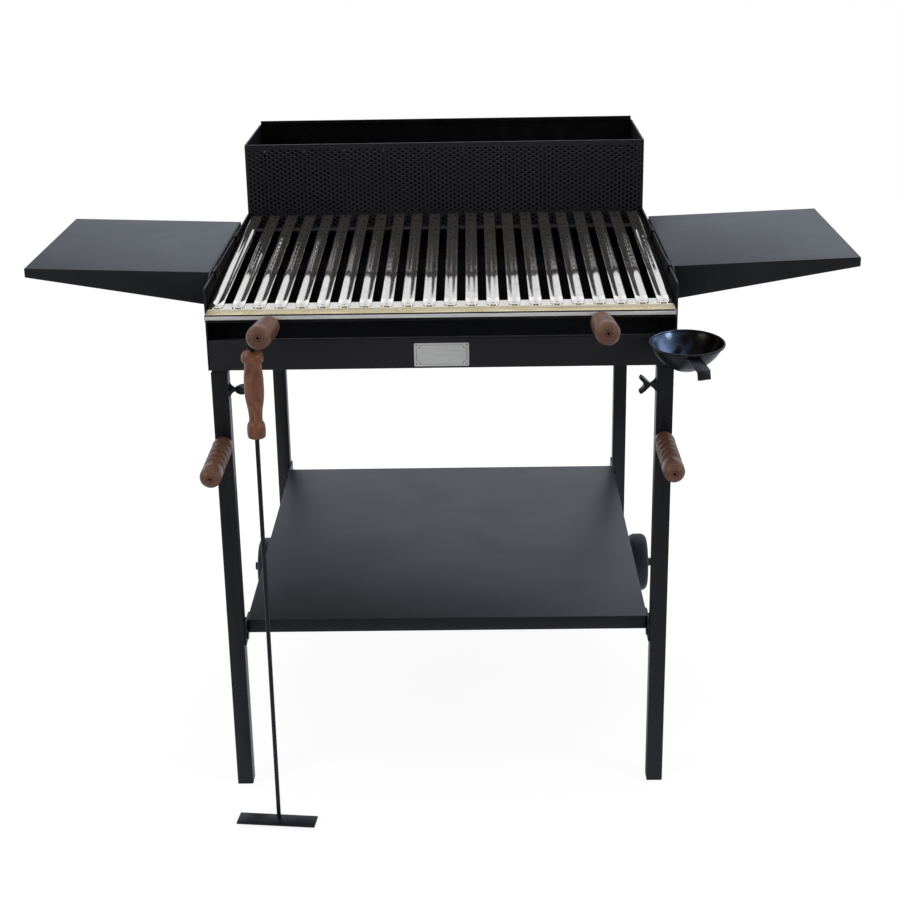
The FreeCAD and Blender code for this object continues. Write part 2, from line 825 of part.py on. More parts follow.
cap = cut(
    rod(ALONG_X, cap_start, axle_depth, d.wheel_radius, d.cap_radius, d.cap_length),
    rod(ALONG_X, cap_start - d.overrun, axle_depth, d.wheel_radius, d.axle_radius,
        d.cap_length / 2 + d.overrun))
part("axle_caps", together(cap, mirrored(cap)))

tyre = turned([
    (tyre_bore, 0),
    (d.wheel_radius - d.tyre_shoulder, 0),
    (d.wheel_radius, d.tyre_shoulder, d.tyre_shoulder, 1),
    (d.wheel_radius, d.wheel_width - d.tyre_shoulder),
    (d.wheel_radius - d.tyre_shoulder, d.wheel_width, d.tyre_shoulder, 1),
    (tyre_bore, d.wheel_width),
])
wheel_tyre = part("wheel_tyre_right", tyre, wheel_inner, axle_depth, d.wheel_radius, turn=ALONG_X)
other_side("wheel_tyre_left", wheel_tyre)

web_low = (d.wheel_width - d.hub_web) / 2
web_high = web_low + d.hub_web
rim_sheet = d.hub_web / 2
rim_inner = tyre_bore - rim_sheet
nose = d.wheel_width + d.hub_nose_radius / 2
wheel_hub = turned([
    (axle_hole, 0),
    (d.hub_barrel, 0),
    (d.hub_barrel, web_low),
    (rim_inner, web_low),
    (rim_inner, rim_sheet),
    (tyre_bore, rim_sheet),
    (tyre_bore, d.wheel_width - rim_sheet),
    (rim_inner, d.wheel_width - rim_sheet),
    (rim_inner, web_high),
    (d.hub_cone, web_high),
    (d.hub_nose_radius, nose),
    (axle_hole, nose),
])
hub = part("wheel_hub_right", wheel_hub, wheel_inner, axle_depth, d.wheel_radius, turn=ALONG_X)
other_side("wheel_hub_left", hub)

# Bottom shelf, its four brackets and their bolts
shelf_half = leg_inner - d.bracket_sheet
shelf_rear = leg_rear - d.shelf_rear_gap
bracket_rear_front = shelf_rear - d.bracket_rear_run
shelf_low = d.shelf_top - d.shelf_apron
apron_bolt_height = d.shelf_top - d.bracket_bolt_drop


def rounded_slab(half, front, rear, low, high, corner):
    """A flat slab with four round corners."""
    return extruded("XY_Plane", [
        (-half, front + corner),
        (-half + corner, front, corner, 1),
        (half - corner, front),
        (half, front + corner, corner, 1),
        (half, rear - corner),
        (half - corner, rear, corner, 1),
        (-half + corner, rear),
        (-half, rear - corner, corner, 1),
    ], low, high)


apron_bolt_depths = (d.bracket_back - d.bracket_bolt_inset, bracket_rear_front + d.bracket_bolt_inset)
apron_holes = []
for depth in apron_bolt_depths:
    apron_holes.append(rod(ALONG_X, -shelf_half - d.overrun, depth, apron_bolt_height, bolt_hole,
                           (shelf_half + d.overrun) * 2))
part("bottom_shelf", cut(
    rounded_slab(shelf_half, d.shelf_front, shelf_rear, shelf_low, d.shelf_top, d.shelf_corner),
    rounded_slab(shelf_half - d.shelf_sheet, d.shelf_front + d.shelf_sheet, shelf_rear - d.shelf_sheet,
                 shelf_low - d.overrun, d.shelf_top - d.shelf_sheet, d.shelf_corner - d.shelf_sheet),
    *apron_holes))

bracket_high = d.shelf_top - d.shelf_sheet
bracket_low = shelf_low - d.bracket_drop
bracket_rear = rear_leg_back - d.bracket_front + d.leg_front
leg_bolt_depths = (leg_centre_front, axle_depth)


def bracket(corners, depths):
    """A bracket plate between the shelf's apron and a leg's inner face, with its two holes."""
    holes = []
    for hole_depth, hole_height in depths:
        holes.append(rod(ALONG_X, shelf_half - d.overrun, hole_depth, hole_height, bolt_hole,
                         leg_inner - shelf_half + d.overrun * 2))
    return cut(extruded("YZ_Plane", corners, shelf_half, leg_inner), *holes)


front_bracket = bracket([
    (d.bracket_front, bracket_low),
    (d.bracket_back - d.bracket_chamfer, bracket_low),
    (d.bracket_back, bracket_low + d.bracket_chamfer),
    (d.bracket_back, bracket_high),
    (d.bracket_front, bracket_high),
], ((leg_bolt_depths[0], bracket_bolt_height), (apron_bolt_depths[0], apron_bolt_height)))
rear_bracket = bracket([
    (bracket_rear_front, bracket_low + d.bracket_chamfer),
    (bracket_rear_front + d.bracket_chamfer, bracket_low),
    (bracket_rear, bracket_low),
    (bracket_rear, bracket_high),
    (bracket_rear_front, bracket_high),
], ((leg_bolt_depths[1], bracket_bolt_height), (apron_bolt_depths[1], apron_bolt_height)))
part("shelf_brackets", together(front_bracket, rear_bracket, mirrored(front_bracket),
                                mirrored(rear_bracket)))

bolts = []
for depth in leg_bolt_depths:
    bolts.append(fused(
        rod(ALONG_X, shelf_half - d.bolt_head, depth, bracket_bolt_height, d.bolt_head_radius, d.bolt_head),
        rod(ALONG_X, shelf_half - d.bolt_head / 2, depth, bracket_bolt_height, d.bolt_radius,
            leg_inner + d.leg_wall + d.bolt_spare - shelf_half)))
for depth in apron_bolt_depths:
    bolts.append(fused(
        rod(ALONG_X, leg_inner, depth, apron_bolt_height, d.bolt_head_radius, d.bolt_head),
        rod(ALONG_X, shelf_half - d.shelf_sheet - d.bolt_spare, depth, apron_bolt_height, d.bolt_radius,
            leg_inner - shelf_half + d.shelf_sheet + d.bolt_spare + d.bolt_head / 2)))
part("shelf_bolts", together(*bolts, *[mirrored(bolt) for bolt in bolts]))

# Side shelves: a tapered tray on a plate that hooks over the side wall
side_top = wall_top + d.side_rise
mount_inner = half_box + d.hang_gap
mount_outer = mount_inner + d.side_sheet
side_low = side_top - d.side_apron
tip_top = side_top + d.side_lift
tip_low = tip_top - d.side_tip
tray_run = d.side_reach - mount_outer
lip_rise = tip_low - side_low


def top_edge(x):
    """Height of the tray's top at x: it rises a little outward."""
    return side_top + d.side_lift * ((x - mount_outer) / tray_run)


def under_edge(x):
    """Height of the tapered apron's lower edge at x."""
    return side_low + lip_rise * ((x - mount_outer) / tray_run)


tray_outer = extruded("XZ_Plane", [
    (mount_outer, side_low),
    (d.side_reach, tip_low),
    (d.side_reach, tip_top),
    (mount_outer, side_top),
], d.side_front, d.side_rear)
inner_reach = d.side_reach - d.side_sheet
inner_start = mount_outer - d.overrun
tray_inner = extruded("XZ_Plane", [
    (inner_start, under_edge(inner_start) - d.side_tip),
    (inner_reach, under_edge(inner_reach) - d.side_tip),
    (inner_reach, top_edge(inner_reach) - d.side_sheet),
    (inner_start, top_edge(inner_start) - d.side_sheet),
], d.side_front + d.side_sheet, d.side_rear - d.side_sheet)
side_shelf = part("side_shelf_right", cut(tray_outer, tray_inner))
other_side("side_shelf_left", side_shelf)

ear_front = d.side_front - d.ear_reach
ear_round = d.side_apron - d.ear_flat
hook_front = d.side_front + d.hook_front_inset
hook_back = d.side_rear - d.hook_back_inset
hook_low = wall_top + d.hang_gap
hook_high = hook_low + d.side_sheet
hook_face = wall_inner - d.hang_gap
mount_pieces = [extruded("YZ_Plane", [
    (ear_front, side_low),
    (d.side_rear, side_low),
    (d.side_rear, side_top),
    (ear_front + ear_round, side_top),
    (ear_front, side_top - ear_round, ear_round, 1),
], mount_inner, mount_outer)]
for hook_place in (hook_front, hook_back):
    mount_pieces.append(block((hook_face - d.side_sheet, mount_inner + d.side_sheet / 2),
                              (hook_place, hook_place + d.hook_width), (hook_low, hook_high)))
    mount_pieces.append(block((hook_face - d.side_sheet, hook_face),
                              (hook_place, hook_place + d.hook_width),
                              (hook_high - d.hook_leg, hook_high)))
shelf_mount = part("shelf_mount_right", fused(*mount_pieces))
other_side("shelf_mount_left", shelf_mount)

# Grill, built flat and then sloped about the line where its top meets the front plane
frame_half = wall_inner - d.grill_gap
bar_start = d.bar_margin_left - frame_half
bar_first = bar_start + d.bar_width / 2
bar_spread = frame_half * 2 - d.bar_width - d.bar_margin_left - d.bar_margin_right
bar_back = d.basket_front - d.bar_back_gap
bar_end = bar_start + d.bar_width
trough_run = (d.bar_width / 2 - d.bar_rim - d.bar_flat) / 2
trough_arc = arc_radius(trough_run * 2, d.bar_trough / 2)
trough_left = bar_first - d.bar_flat
trough_right = bar_first + d.bar_flat
half_trough = d.bar_trough / 2
bar_body = extruded("XZ_Plane", [
    (bar_start, -d.bar_sheet),
    (bar_start + d.bar_rim, -d.bar_sheet),
    (trough_left - trough_run, -d.bar_sheet - half_trough, trough_arc, -1),
    (trough_left, -d.bar_sheet - d.bar_trough, trough_arc, 1),
    (trough_right, -d.bar_sheet - d.bar_trough),
    (trough_right + trough_run, -d.bar_sheet - half_trough, trough_arc, 1),
    (bar_end - d.bar_rim, -d.bar_sheet, trough_arc, -1),
    (bar_end, -d.bar_sheet),
    (bar_end, 0),
    (bar_end - d.bar_rim, 0),
    (trough_right + trough_run, -half_trough, trough_arc, 1),
    (trough_right, -d.bar_trough, trough_arc, -1),
    (trough_left, -d.bar_trough),
    (trough_left - trough_run, -half_trough, trough_arc, -1),
    (bar_start + d.bar_rim, 0, trough_arc, 1),
    (bar_start, 0),
], -d.bar_overhang, bar_back)
bar_strip = bar_body.Tip
past_front = -d.bar_overhang - d.overrun
round_end = d.bar_round - d.bar_overhang
left_corner = trimmed(bar_body, [
    (bar_start - d.overrun, past_front),
    (bar_start + d.bar_round, past_front),
    (bar_start + d.bar_round, -d.bar_overhang),
    (bar_start, round_end, d.bar_round, -1),
    (bar_start - d.overrun, round_end),
])
right_corner = trimmed(bar_body, [
    (bar_end - d.bar_round, past_front),
    (bar_end + d.overrun, past_front),
    (bar_end + d.overrun, round_end),
    (bar_end, round_end),
    (bar_end - d.bar_round, -d.bar_overhang, d.bar_round, -1),
])
repeated(bar_body, [bar_strip, left_corner, right_corner], "X_Axis", bar_spread / (d.bar_count - 1),
         d.bar_count)


def on_slope(name, item):
    """A sub-part of the grill or its rails, sloped with it."""
    return part(name, item, 0, 0, grill_height, X_AXIS, d.grill_slope)


on_slope("grill_bars", bar_body)

frame_top = -d.bar_sheet - d.bar_trough
frame_low = frame_top - d.frame_sheet
on_slope("grill_crossbar", block((-frame_half, frame_half),
                                 (d.cross_place, d.cross_place + d.cross_width), (frame_low, frame_top)))

# Gutter: the strip under the bars' front ends, folded down and up again to a rolled front hem
gutter_left = wall_inner - d.gutter_gap
gutter_top = frame_top - d.gutter_drop
gutter_low = gutter_top - d.frame_sheet
slant_end = d.strip_front + d.gutter_slant
fold = d.frame_sheet * d.fold_share
hem_inner = d.gutter_front + d.gutter_rise
hem_middle = hem_inner + d.hem_radius
hem_small = d.hem_radius - d.frame_sheet
gutter_body = extruded("YZ_Plane", [
    (d.strip_back, frame_low),
    (d.strip_back, frame_top),
    (-d.strip_front, frame_top),
    (-slant_end, gutter_top),
    (-d.gutter_front, gutter_top),
    (-hem_inner, -d.hem_radius),
    (-hem_middle, 0, d.hem_radius, 1),
    (-hem_middle - d.hem_radius, -d.hem_radius, d.hem_radius, 1),
    (-hem_middle - d.hem_radius, -d.hem_radius - d.hem_drop),
    (-hem_middle - hem_small, -d.hem_radius - d.hem_drop),
    (-hem_middle - hem_small, -d.hem_radius),
    (-hem_middle, -d.frame_sheet, hem_small, -1),
    (-hem_middle + hem_small, -d.hem_radius, hem_small, -1),
    (-d.gutter_front - fold, gutter_low),
    (-slant_end + fold, gutter_low),
    (-d.strip_front + fold, frame_low),
], -gutter_left, frame_half)
drain_place = (slant_end + d.gutter_front) / 2
drain = rod(ALONG_Z, frame_half - d.drain_inset, -drain_place, gutter_low - d.overrun, d.drain_radius,
            d.frame_sheet + d.overrun * 2)
on_slope("grill_gutter", cut(gutter_body, drain))


def gutter_end(start, end):
    """A plate that closes one end of the gutter."""
    return extruded("YZ_Plane", [
        (-d.strip_front, frame_low),
        (-d.strip_front, frame_top),
        (-d.strip_front - d.gutter_slant, -d.hem_radius / 2),
        (-hem_middle, -d.hem_radius / 2),
        (-hem_middle, -d.hem_radius - d.hem_drop),
        (-d.gutter_front - fold, gutter_low),
        (-slant_end + fold, gutter_low),
    ], start, end)


on_slope("gutter_ends", together(gutter_end(frame_half, frame_half + d.frame_sheet),
                                 gutter_end(-gutter_left - d.frame_sheet, -gutter_left)))

# Rails on the side walls that carry the grill
rail_top = frame_low - d.rest_gap
rail_back = d.basket_front - d.rail_back_gap
rail = extruded("XZ_Plane", [
    (wall_inner, rail_top - d.rail_height),
    (wall_inner, rail_top),
    (wall_inner - d.rail_ledge, rail_top),
    (wall_inner - d.rail_ledge, rail_top - d.rail_sheet),
    (wall_inner - d.rail_sheet, rail_top - d.rail_sheet),
    (wall_inner - d.rail_sheet, rail_top - d.rail_height),
], size(0), rail_back)
grill_rail = on_slope("grill_rail_right", rail)
other_side("grill_rail_left", grill_rail)

# Grill handles: rods held in lugs under the gutter, with turned wooden grips
bead_rise = (d.grip_bead - d.grip_waist) + (d.grip_bead - d.grip_waist) / 2
grip_outline = [
    (handle_bore, 0),
    (d.grip_waist, 0),
    (d.grip_waist, d.grip_bead_length, arc_radius(d.grip_bead_length, bead_rise), 1),
    (d.grip_radius, d.grip_bead_length + d.grip_swell,
     arc_radius(d.grip_swell, d.grip_radius - d.grip_waist) * 2, -1),
] + ringed_end(d.grip_radius, d.grip_length, d.grip_end)
grip_turn = QUARTER_TURN - d.grip_tilt
rod_back_y = -grip_root + d.grip_rod_back * cosine(d.grip_tilt)
rod_back_z = grip_height - d.grip_rod_back * sine(d.grip_tilt)
grip_rod_length = d.grip_rod_back + d.grip_length - d.handle_rod_short
grip_rods = []
lugs = []
for side, grip_x in (("left", grip_left), ("right", grip_right)):
    part("grill_handle_%s" % side, turned(grip_outline), grip_x, -grip_root, grip_height,
         X_AXIS, grip_turn)
    grip_rod = rod(ALONG_Z, 0, 0, 0, d.handle_rod_radius, grip_rod_length)
    grip_rods.append(place(grip_rod, grip_x, rod_back_y, rod_back_z, X_AXIS, grip_turn))
    bore = rod(ALONG_Z, 0, 0, 0, handle_bore, grip_rod_length)
    place(bore, grip_x, rod_back_y + d.overrun, rod_back_z - d.overrun * sine(d.grip_tilt),
          X_AXIS, grip_turn)
    lug = block((grip_x - d.lug_half, grip_x + d.lug_half), (-d.lug_front, -d.lug_back),
                (gutter_low - d.lug_drop, gutter_low))
    sloped_lug = together(lug)
    place(sloped_lug, 0, 0, grill_height, X_AXIS, d.grill_slope)
    lugs.append(cut(sloped_lug, bore))
part("grill_handle_rods", together(*grip_rods))
part("grill_handle_lugs", together(*lugs))

# Log grate: upright and floor rods on two flat bars that lie on rests
grate_height = d.box_bottom + d.grate_rise
grate_bar_half = wall_inner - d.grate_gap
grate_bar_front = d.basket_front + d.grate_bar_front_inset
grate_bar_back = rear_wall_front - d.grate_bar_back_inset
bar_top = grate_height + d.grate_bar_thick
part("grate_bars", together(*[
    block((-grate_bar_half, grate_bar_half), (front, front + d.grate_bar_width),
          (grate_height, bar_top))
    for front in (grate_bar_front, grate_bar_back)]))

floor_rods = []
upright_rods = []
grate_rod_front = d.basket_front + d.grate_rod_front_gap
grate_rod_back = rear_wall_front - d.grate_rod_back_gap
first_rod = d.grate_rod_margin - grate_bar_half
rod_axis = bar_top + d.grate_rod_radius
upright_low = rod_axis + d.grate_rod_radius
for index in range(int(d.grate_rods.number)):
    rod_x = first_rod - first_rod * 2 * index / (d.grate_rods - 1)
    floor_rods.append(rod(ALONG_Y, rod_x, grate_rod_front, rod_axis, d.grate_rod_radius,
                          grate_rod_back - grate_rod_front))
    upright_rods.append(rod(ALONG_Z, rod_x, grate_rod_front + d.grate_rod_radius, upright_low,
                            d.grate_rod_radius, basket_top - d.grate_rod_drop - upright_low))
part("grate_floor_rods", together(*floor_rods))
part("grate_uprights", together(*upright_rods))

rest_top = grate_height - d.rest_gap
grate_rest = extruded("XZ_Plane", [
    (wall_inner, rest_top - d.rail_height),
    (wall_inner, rest_top),
    (wall_inner - d.grate_rest_ledge, rest_top),
    (wall_inner - d.grate_rest_ledge, rest_top - d.rail_sheet),
    (wall_inner - d.rail_sheet, rest_top - d.rail_sheet),
    (wall_inner - d.rail_sheet, rest_top - d.rail_height),
], d.basket_front + d.grate_rest_inset, rear_wall_front)
part("grate_rests", together(grate_rest, mirrored(grate_rest)))

# Rake: a rod through a turned handle, an eye on top and a flat blade below
rake_place = grip_left - d.rake_beside
rake_rod_top = grip_height - d.rake_drop
rake_wood_bottom = rake_rod_top - d.rake_rod_stand - d.rake_wood_length
rake_bore = d.rake_rod_radius + d.handle_bore_fit
collar_drop = d.rake_wood_length - d.rake_knob_length
rake_body_place = d.rake_wood_length - d.rake_body_drop
rake_collar_place = d.rake_wood_length - d.rake_collar_drop
rake_wood = turned([
    (rake_bore, 0),
    (d.rake_bead - d.rake_round, 0),
    (d.rake_bead, d.rake_round, d.rake_round, 1),
    (d.rake_bead, d.rake_bead_length - d.rake_round / 2),
    (d.rake_neck, d.rake_neck_place),
    (d.rake_body, rake_body_place,
     arc_radius(rake_body_place - d.rake_neck_place, d.rake_round / 2) * 2, 1),
    (d.rake_collar, rake_collar_place),
    (d.rake_knob, collar_drop),
    (d.rake_knob, d.rake_wood_length - d.rake_round),
    (d.rake_knob - d.rake_round, d.rake_wood_length, d.rake_round, 1),
    (rake_bore, d.rake_wood_length),
])
part("rake_handle", rake_wood, rake_place, d.rake_depth, rake_wood_bottom)
part("rake_rod", rod(ALONG_Z, rake_place, d.rake_depth, d.rake_rod_bottom, d.rake_rod_radius,
                     rake_rod_top - d.rake_rod_bottom))

eye_radius = d.eye_inner + d.eye_wire
eye_height = rake_rod_top + eye_radius + d.eye_wire
part("rake_eye", ring(ALONG_Y, rake_place, d.rake_depth, eye_height, eye_radius, d.eye_wire))

half_blade = d.blade_length / 2
blade_half_width = d.blade_width / 2
blade_low = d.rake_rod_bottom - d.blade_sheet
blade = extruded("XY_Plane", [
    (-half_blade, -blade_half_width - d.blade_ahead),
    (half_blade, -blade_half_width - d.blade_ahead),
    (half_blade, blade_half_width - d.blade_ahead),
    (-half_blade, blade_half_width - d.blade_ahead),
], size(0), d.blade_sheet)
part("rake_blade", blade, rake_place, d.rake_depth, blade_low, Z_AXIS, -d.blade_turn)

# Hook: round wire up the lip, forward through the eye and up at its tip
hook_start = d.box_bottom + d.hook_rise
hook_height = eye_height + d.eye_inner - d.hook_wire - d.hook_seat
hook_turn = FreeCAD.Rotation(FreeCAD.Vector(1, 1, 1), 120)
half_turn = FreeCAD.Rotation(Z_AXIS, QUARTER_TURN * 2)
tip_front = -d.rake_depth + d.hook_ahead
part("rake_hook", fused(
    rod(ALONG_Z, rake_place, -d.hook_wire, hook_start, d.hook_wire,
        hook_height - d.hook_bend - hook_start),
    ring(hook_turn, rake_place, -d.hook_wire - d.hook_bend, hook_height - d.hook_bend, d.hook_bend,
         d.hook_wire, QUARTER_TURN),
    rod(ALONG_Y, rake_place, -tip_front, hook_height, d.hook_wire,
        tip_front - d.hook_wire - d.hook_bend),
    ring(hook_turn * half_turn, rake_place, -tip_front, hook_height + d.hook_tip_bend,
         d.hook_tip_bend, d.hook_wire, QUARTER_TURN)))

# Drip bowl: a turned bowl with a rolled rim, a bolt to hang by and a strap to lift it with
bowl_place = half_box + d.bowl_aside
bowl_ahead = d.bowl_flange_front + d.bowl_rim_radius - d.bowl_lean
bowl_rim_height = d.box_bottom + d.bowl_rise
rim_line = d.bowl_rim_radius - d.bowl_rim_roll
bowl_outside = [
    (0, -d.bowl_depth),
    (d.bowl_flat, -d.bowl_depth),
    (rim_line, 0, d.bowl_curve, 1),
]
bowl_shell = turned(bowl_outside + [
    (rim_line - d.bowl_sheet, 0),
    (d.bowl_flat - d.bowl_sheet / 2, d.bowl_sheet - d.bowl_depth, d.bowl_curve - d.bowl_sheet, -1),
    (0, d.bowl_sheet - d.bowl_depth),
])
rim_roll = ring(ALONG_Z, 0, 0, 0, rim_line, d.bowl_rim_roll)
bowl_body = place(fused(bowl_shell, rim_roll), bowl_place, -bowl_ahead, bowl_rim_height,
                  X_AXIS, d.bowl_tilt)
bowl_bolt_place = bowl_place - d.bowl_bolt_inward
bowl_bolt_front = d.bowl_flange_front + d.bowl_bolt_reach
bolt_height = bowl_rim_height - d.bowl_bolt_drop
bolt_back = -d.bowl_flange_front + d.bowl_flange_sheet + d.rest_gap + d.bowl_bolt_nut
bolt_start = -bowl_bolt_front + d.bowl_bolt_nut
bolt_bore = rod(ALONG_Y, bowl_bolt_place, bolt_start, bolt_height, bolt_hole, bowl_bolt_front)
part("drip_bowl", cut(bowl_body, bolt_bore))

part("bowl_bolt", fused(
    rod(ALONG_Y, bowl_bolt_place, -bowl_bolt_front, bolt_height, d.bowl_bolt_head, d.bowl_bolt_nut),
    rod(ALONG_Y, bowl_bolt_place, -bowl_bolt_front, bolt_height, d.bolt_radius,
        bolt_back + bowl_bolt_front),
    rod(ALONG_Y, bowl_bolt_place, bolt_back - d.bowl_bolt_nut, bolt_height, d.bowl_bolt_head,
        d.bowl_bolt_nut)))

flange_low = bolt_height - d.bowl_flange_under
flange_high = bolt_height + d.bowl_flange_over
flange_back = d.bowl_flange_sheet - d.bowl_flange_front
slot_half = d.bolt_radius + d.hang_gap
part("bowl_bracket", cut(
    fused(
        block((bowl_bolt_place - d.bowl_flange_half, bowl_bolt_place + d.bowl_flange_half),
              (-d.bowl_flange_front, flange_back), (flange_low, flange_high)),
        block((half_box, half_box + d.bowl_flange_sheet), (-d.bowl_flange_front, d.bowl_arm_back),
              (flange_low, flange_low + d.bowl_arm_height))),
    block((bowl_bolt_place - slot_half, bowl_bolt_place + slot_half),
          (-d.bowl_flange_front - d.overrun, flange_back + d.overrun),
          (bolt_height, flange_high + d.overrun)),
    rod(ALONG_Y, bowl_bolt_place, -d.bowl_flange_front - d.overrun, bolt_height, slot_half,
        d.bowl_flange_sheet + d.overrun * 2)))

# The strap slopes down from the bowl's front wall, cut to its curve, and ends in a tab
strap_high = bowl_rim_height - d.strap_start_drop
strap_end = strap_high - d.strap_fall
strap = extruded("YZ_Plane", [
    (0, strap_high),
    (-d.strap_length, strap_end),
    (-d.strap_length - d.strap_sheet, strap_end - d.strap_tab),
    (-d.strap_length, strap_end - d.strap_tab),
    (-d.strap_length + d.strap_sheet, strap_end - d.strap_sheet),
    (0, strap_high - d.strap_sheet),
], -d.strap_width / 2, d.strap_width / 2)
strap_from = d.bowl_rim_radius - d.strap_inset
place(strap, bowl_place + d.strap_side, -bowl_ahead - strap_from, 0, Z_AXIS, d.strap_turn)
bowl_solid = place(turned(bowl_outside + [(0, 0)]), bowl_place, -bowl_ahead, bowl_rim_height,
                   X_AXIS, d.bowl_tilt)
part("bowl_strap", cut(strap, bowl_solid))

doc.recompute()

for item in doc.Objects:
    if "Invalid" in item.State or "Error" in item.State:
        raise RuntimeError("%s (%s) did not build: %s" % (item.Name, item.Label, item.State))
for item in parts:
    if item.Shape.isNull() or not item.Shape.isValid() or not item.Shape.Solids:
        raise RuntimeError("%s has no valid solid" % item.Label)

os.makedirs("parts", exist_ok=True)
for item in parts:
    item.Shape.exportStep("parts/%s.step" % item.Label)
whole = Part.makeCompound([item.Shape for item in parts]).BoundBox
print("%d sub-parts, %.0f x %.0f x %.0f mm" % (len(parts), whole.XLength, whole.YLength, whole.ZLength))
print("box from y %.2f to %.2f, z %.2f" % (whole.YMin, whole.YMax, whole.ZMin))
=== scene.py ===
import json
import math

import bmesh
import bpy
from mathutils import Matrix, Vector

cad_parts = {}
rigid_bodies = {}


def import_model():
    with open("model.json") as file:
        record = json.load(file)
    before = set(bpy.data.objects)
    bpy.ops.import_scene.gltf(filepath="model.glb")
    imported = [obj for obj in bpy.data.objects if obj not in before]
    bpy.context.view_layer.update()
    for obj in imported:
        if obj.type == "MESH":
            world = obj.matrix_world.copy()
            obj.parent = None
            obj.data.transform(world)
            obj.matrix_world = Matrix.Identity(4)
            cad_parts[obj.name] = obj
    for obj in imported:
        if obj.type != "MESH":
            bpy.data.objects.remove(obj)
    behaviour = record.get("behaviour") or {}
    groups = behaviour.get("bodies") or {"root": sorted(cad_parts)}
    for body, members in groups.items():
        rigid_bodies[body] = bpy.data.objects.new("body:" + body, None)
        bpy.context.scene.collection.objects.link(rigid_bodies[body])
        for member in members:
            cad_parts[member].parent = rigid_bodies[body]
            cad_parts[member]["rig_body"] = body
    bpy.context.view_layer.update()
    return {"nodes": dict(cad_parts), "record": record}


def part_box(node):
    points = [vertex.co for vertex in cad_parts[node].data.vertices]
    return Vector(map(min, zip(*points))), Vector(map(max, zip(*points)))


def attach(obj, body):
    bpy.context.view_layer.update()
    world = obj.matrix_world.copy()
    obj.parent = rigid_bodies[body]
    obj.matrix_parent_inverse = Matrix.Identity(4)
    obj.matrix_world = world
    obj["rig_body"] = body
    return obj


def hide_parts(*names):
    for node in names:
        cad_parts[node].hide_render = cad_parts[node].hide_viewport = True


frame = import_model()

# The looks of an outdoor barbecue. Lengths are written in millimetres and times MM where they are
# used. X runs to the right, Y to the rear, Z up.
MM = 0.001
scene = bpy.context.scene
scene.view_settings.view_transform = "Standard"

front_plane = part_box("front_lip")[0].y / MM
box_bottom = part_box("front_lip")[0].z / MM
wall_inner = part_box("firebox_floor")[1].x / MM
# The grill's front edge over the ground, and its slope in degrees
GRILL_HEIGHT = 807.0
GRILL_SLOPE = 2.75
on_slope = (Matrix.Translation((0, front_plane * MM, GRILL_HEIGHT * MM))
            @ Matrix.Rotation(math.radians(GRILL_SLOPE), 4, "X"))


# Camera: where the photograph was taken from, its angles in radians, and its focal length as a share
# of the sensor's width
CAMERA_PLACE = Vector((48.49, front_plane - 2415.12, 1444.35)) * MM
CAMERA_YAW, CAMERA_PITCH, CAMERA_ROLL = -0.0159, -0.3442, -0.0173
FOCAL_SHARE = 1.87416
SENSOR = 36.0
CAMERA_REACH = 100.0


def set_camera():
    ahead = Vector((math.sin(CAMERA_YAW), math.cos(CAMERA_YAW), 0))
    side = Vector((math.cos(CAMERA_YAW), -math.sin(CAMERA_YAW), 0))
    up = Vector((0, 0, 1))
    look = ahead * math.cos(CAMERA_PITCH) + up * math.sin(CAMERA_PITCH)
    rise = up * math.cos(CAMERA_PITCH) - ahead * math.sin(CAMERA_PITCH)
    right = side * math.cos(CAMERA_ROLL) + rise * math.sin(CAMERA_ROLL)
    top = rise * math.cos(CAMERA_ROLL) - side * math.sin(CAMERA_ROLL)
    camera = bpy.data.objects.new("camera", bpy.data.cameras.new("camera"))
    camera.data.sensor_width = SENSOR
    camera.data.lens = SENSOR * FOCAL_SHARE
    camera.data.clip_end = CAMERA_REACH
    turned = Matrix((right, top, -look)).transposed().to_4x4()
    camera.matrix_world = Matrix.Translation(CAMERA_PLACE) @ turned
    scene.collection.objects.link(camera)
    scene.camera = camera


# How strongly coats and the painted shade inside the firebox mirror, that painted shade's distance from the
# outer faces, and the floor's white
COAT_GLOSS, SHADE_GLOSS = 0.36, 0.06
SHADE_EDGE = 0.6
FLOOR_WHITE = 1.13
# What shiny surfaces mirror: a slightly cool backdrop, brighter higher up and dimmer again overhead, with a
# dark flag low over the horizon. Heights are sines of the angle over the horizon.
COOL_LIGHT = (0.9, 0.965, 1.1)
HIGH_BACKDROP = (0.33, 0.43, 0.95, 1.3)
FLAG_LOW, FLAG_HIGH, FLAG_EDGE, FLAG_LEVEL = 0.27, 0.329, 0.006, 0.03
CEILING = (0.55, 0.9, 1.0, 0.42)


# Node tree helpers
class Tree:
    """A node tree being built: nodes by type, and links from sockets or plain values."""

    def __init__(self, tree):
        self.tree = tree

    def node(self, kind, output=0, settings=(), **inputs):
        """A new node's output. Inputs go by name, or by number as i0, and a list links all of its items."""
        node = self.tree.nodes.new(kind)
        for name, value in dict(settings).items():
            setattr(node, name, value)
        for name, value in inputs.items():
            numbered = name[0] == "i" and name[1:].isdigit()
            socket = node.inputs[int(name[1:]) if numbered else name.replace("_", " ")]
            for given in value if isinstance(value, list) else [value]:
                self.feed(socket, given)
        return node.outputs[output]

    def feed(self, socket, value):
        if isinstance(value, bpy.types.NodeSocket):
            self.tree.links.new(value, socket)
        else:
            socket.default_value = value

    def math(self, operation, first, second=0.0, clamp=False):
        return self.node("ShaderNodeMath", 0, {"operation": operation, "use_clamp": clamp}, i0=first,
                         i1=second)

    def plus(self, first, second):
        return self.math("ADD", first, second)

    def minus(self, first, second):
        return self.math("SUBTRACT", first, second)

    def times(self, first, second):
        return self.math("MULTIPLY", first, second)

    def vector(self, x=0.0, y=0.0, z=0.0):
        return self.node("ShaderNodeCombineXYZ", X=x, Y=y, Z=z)


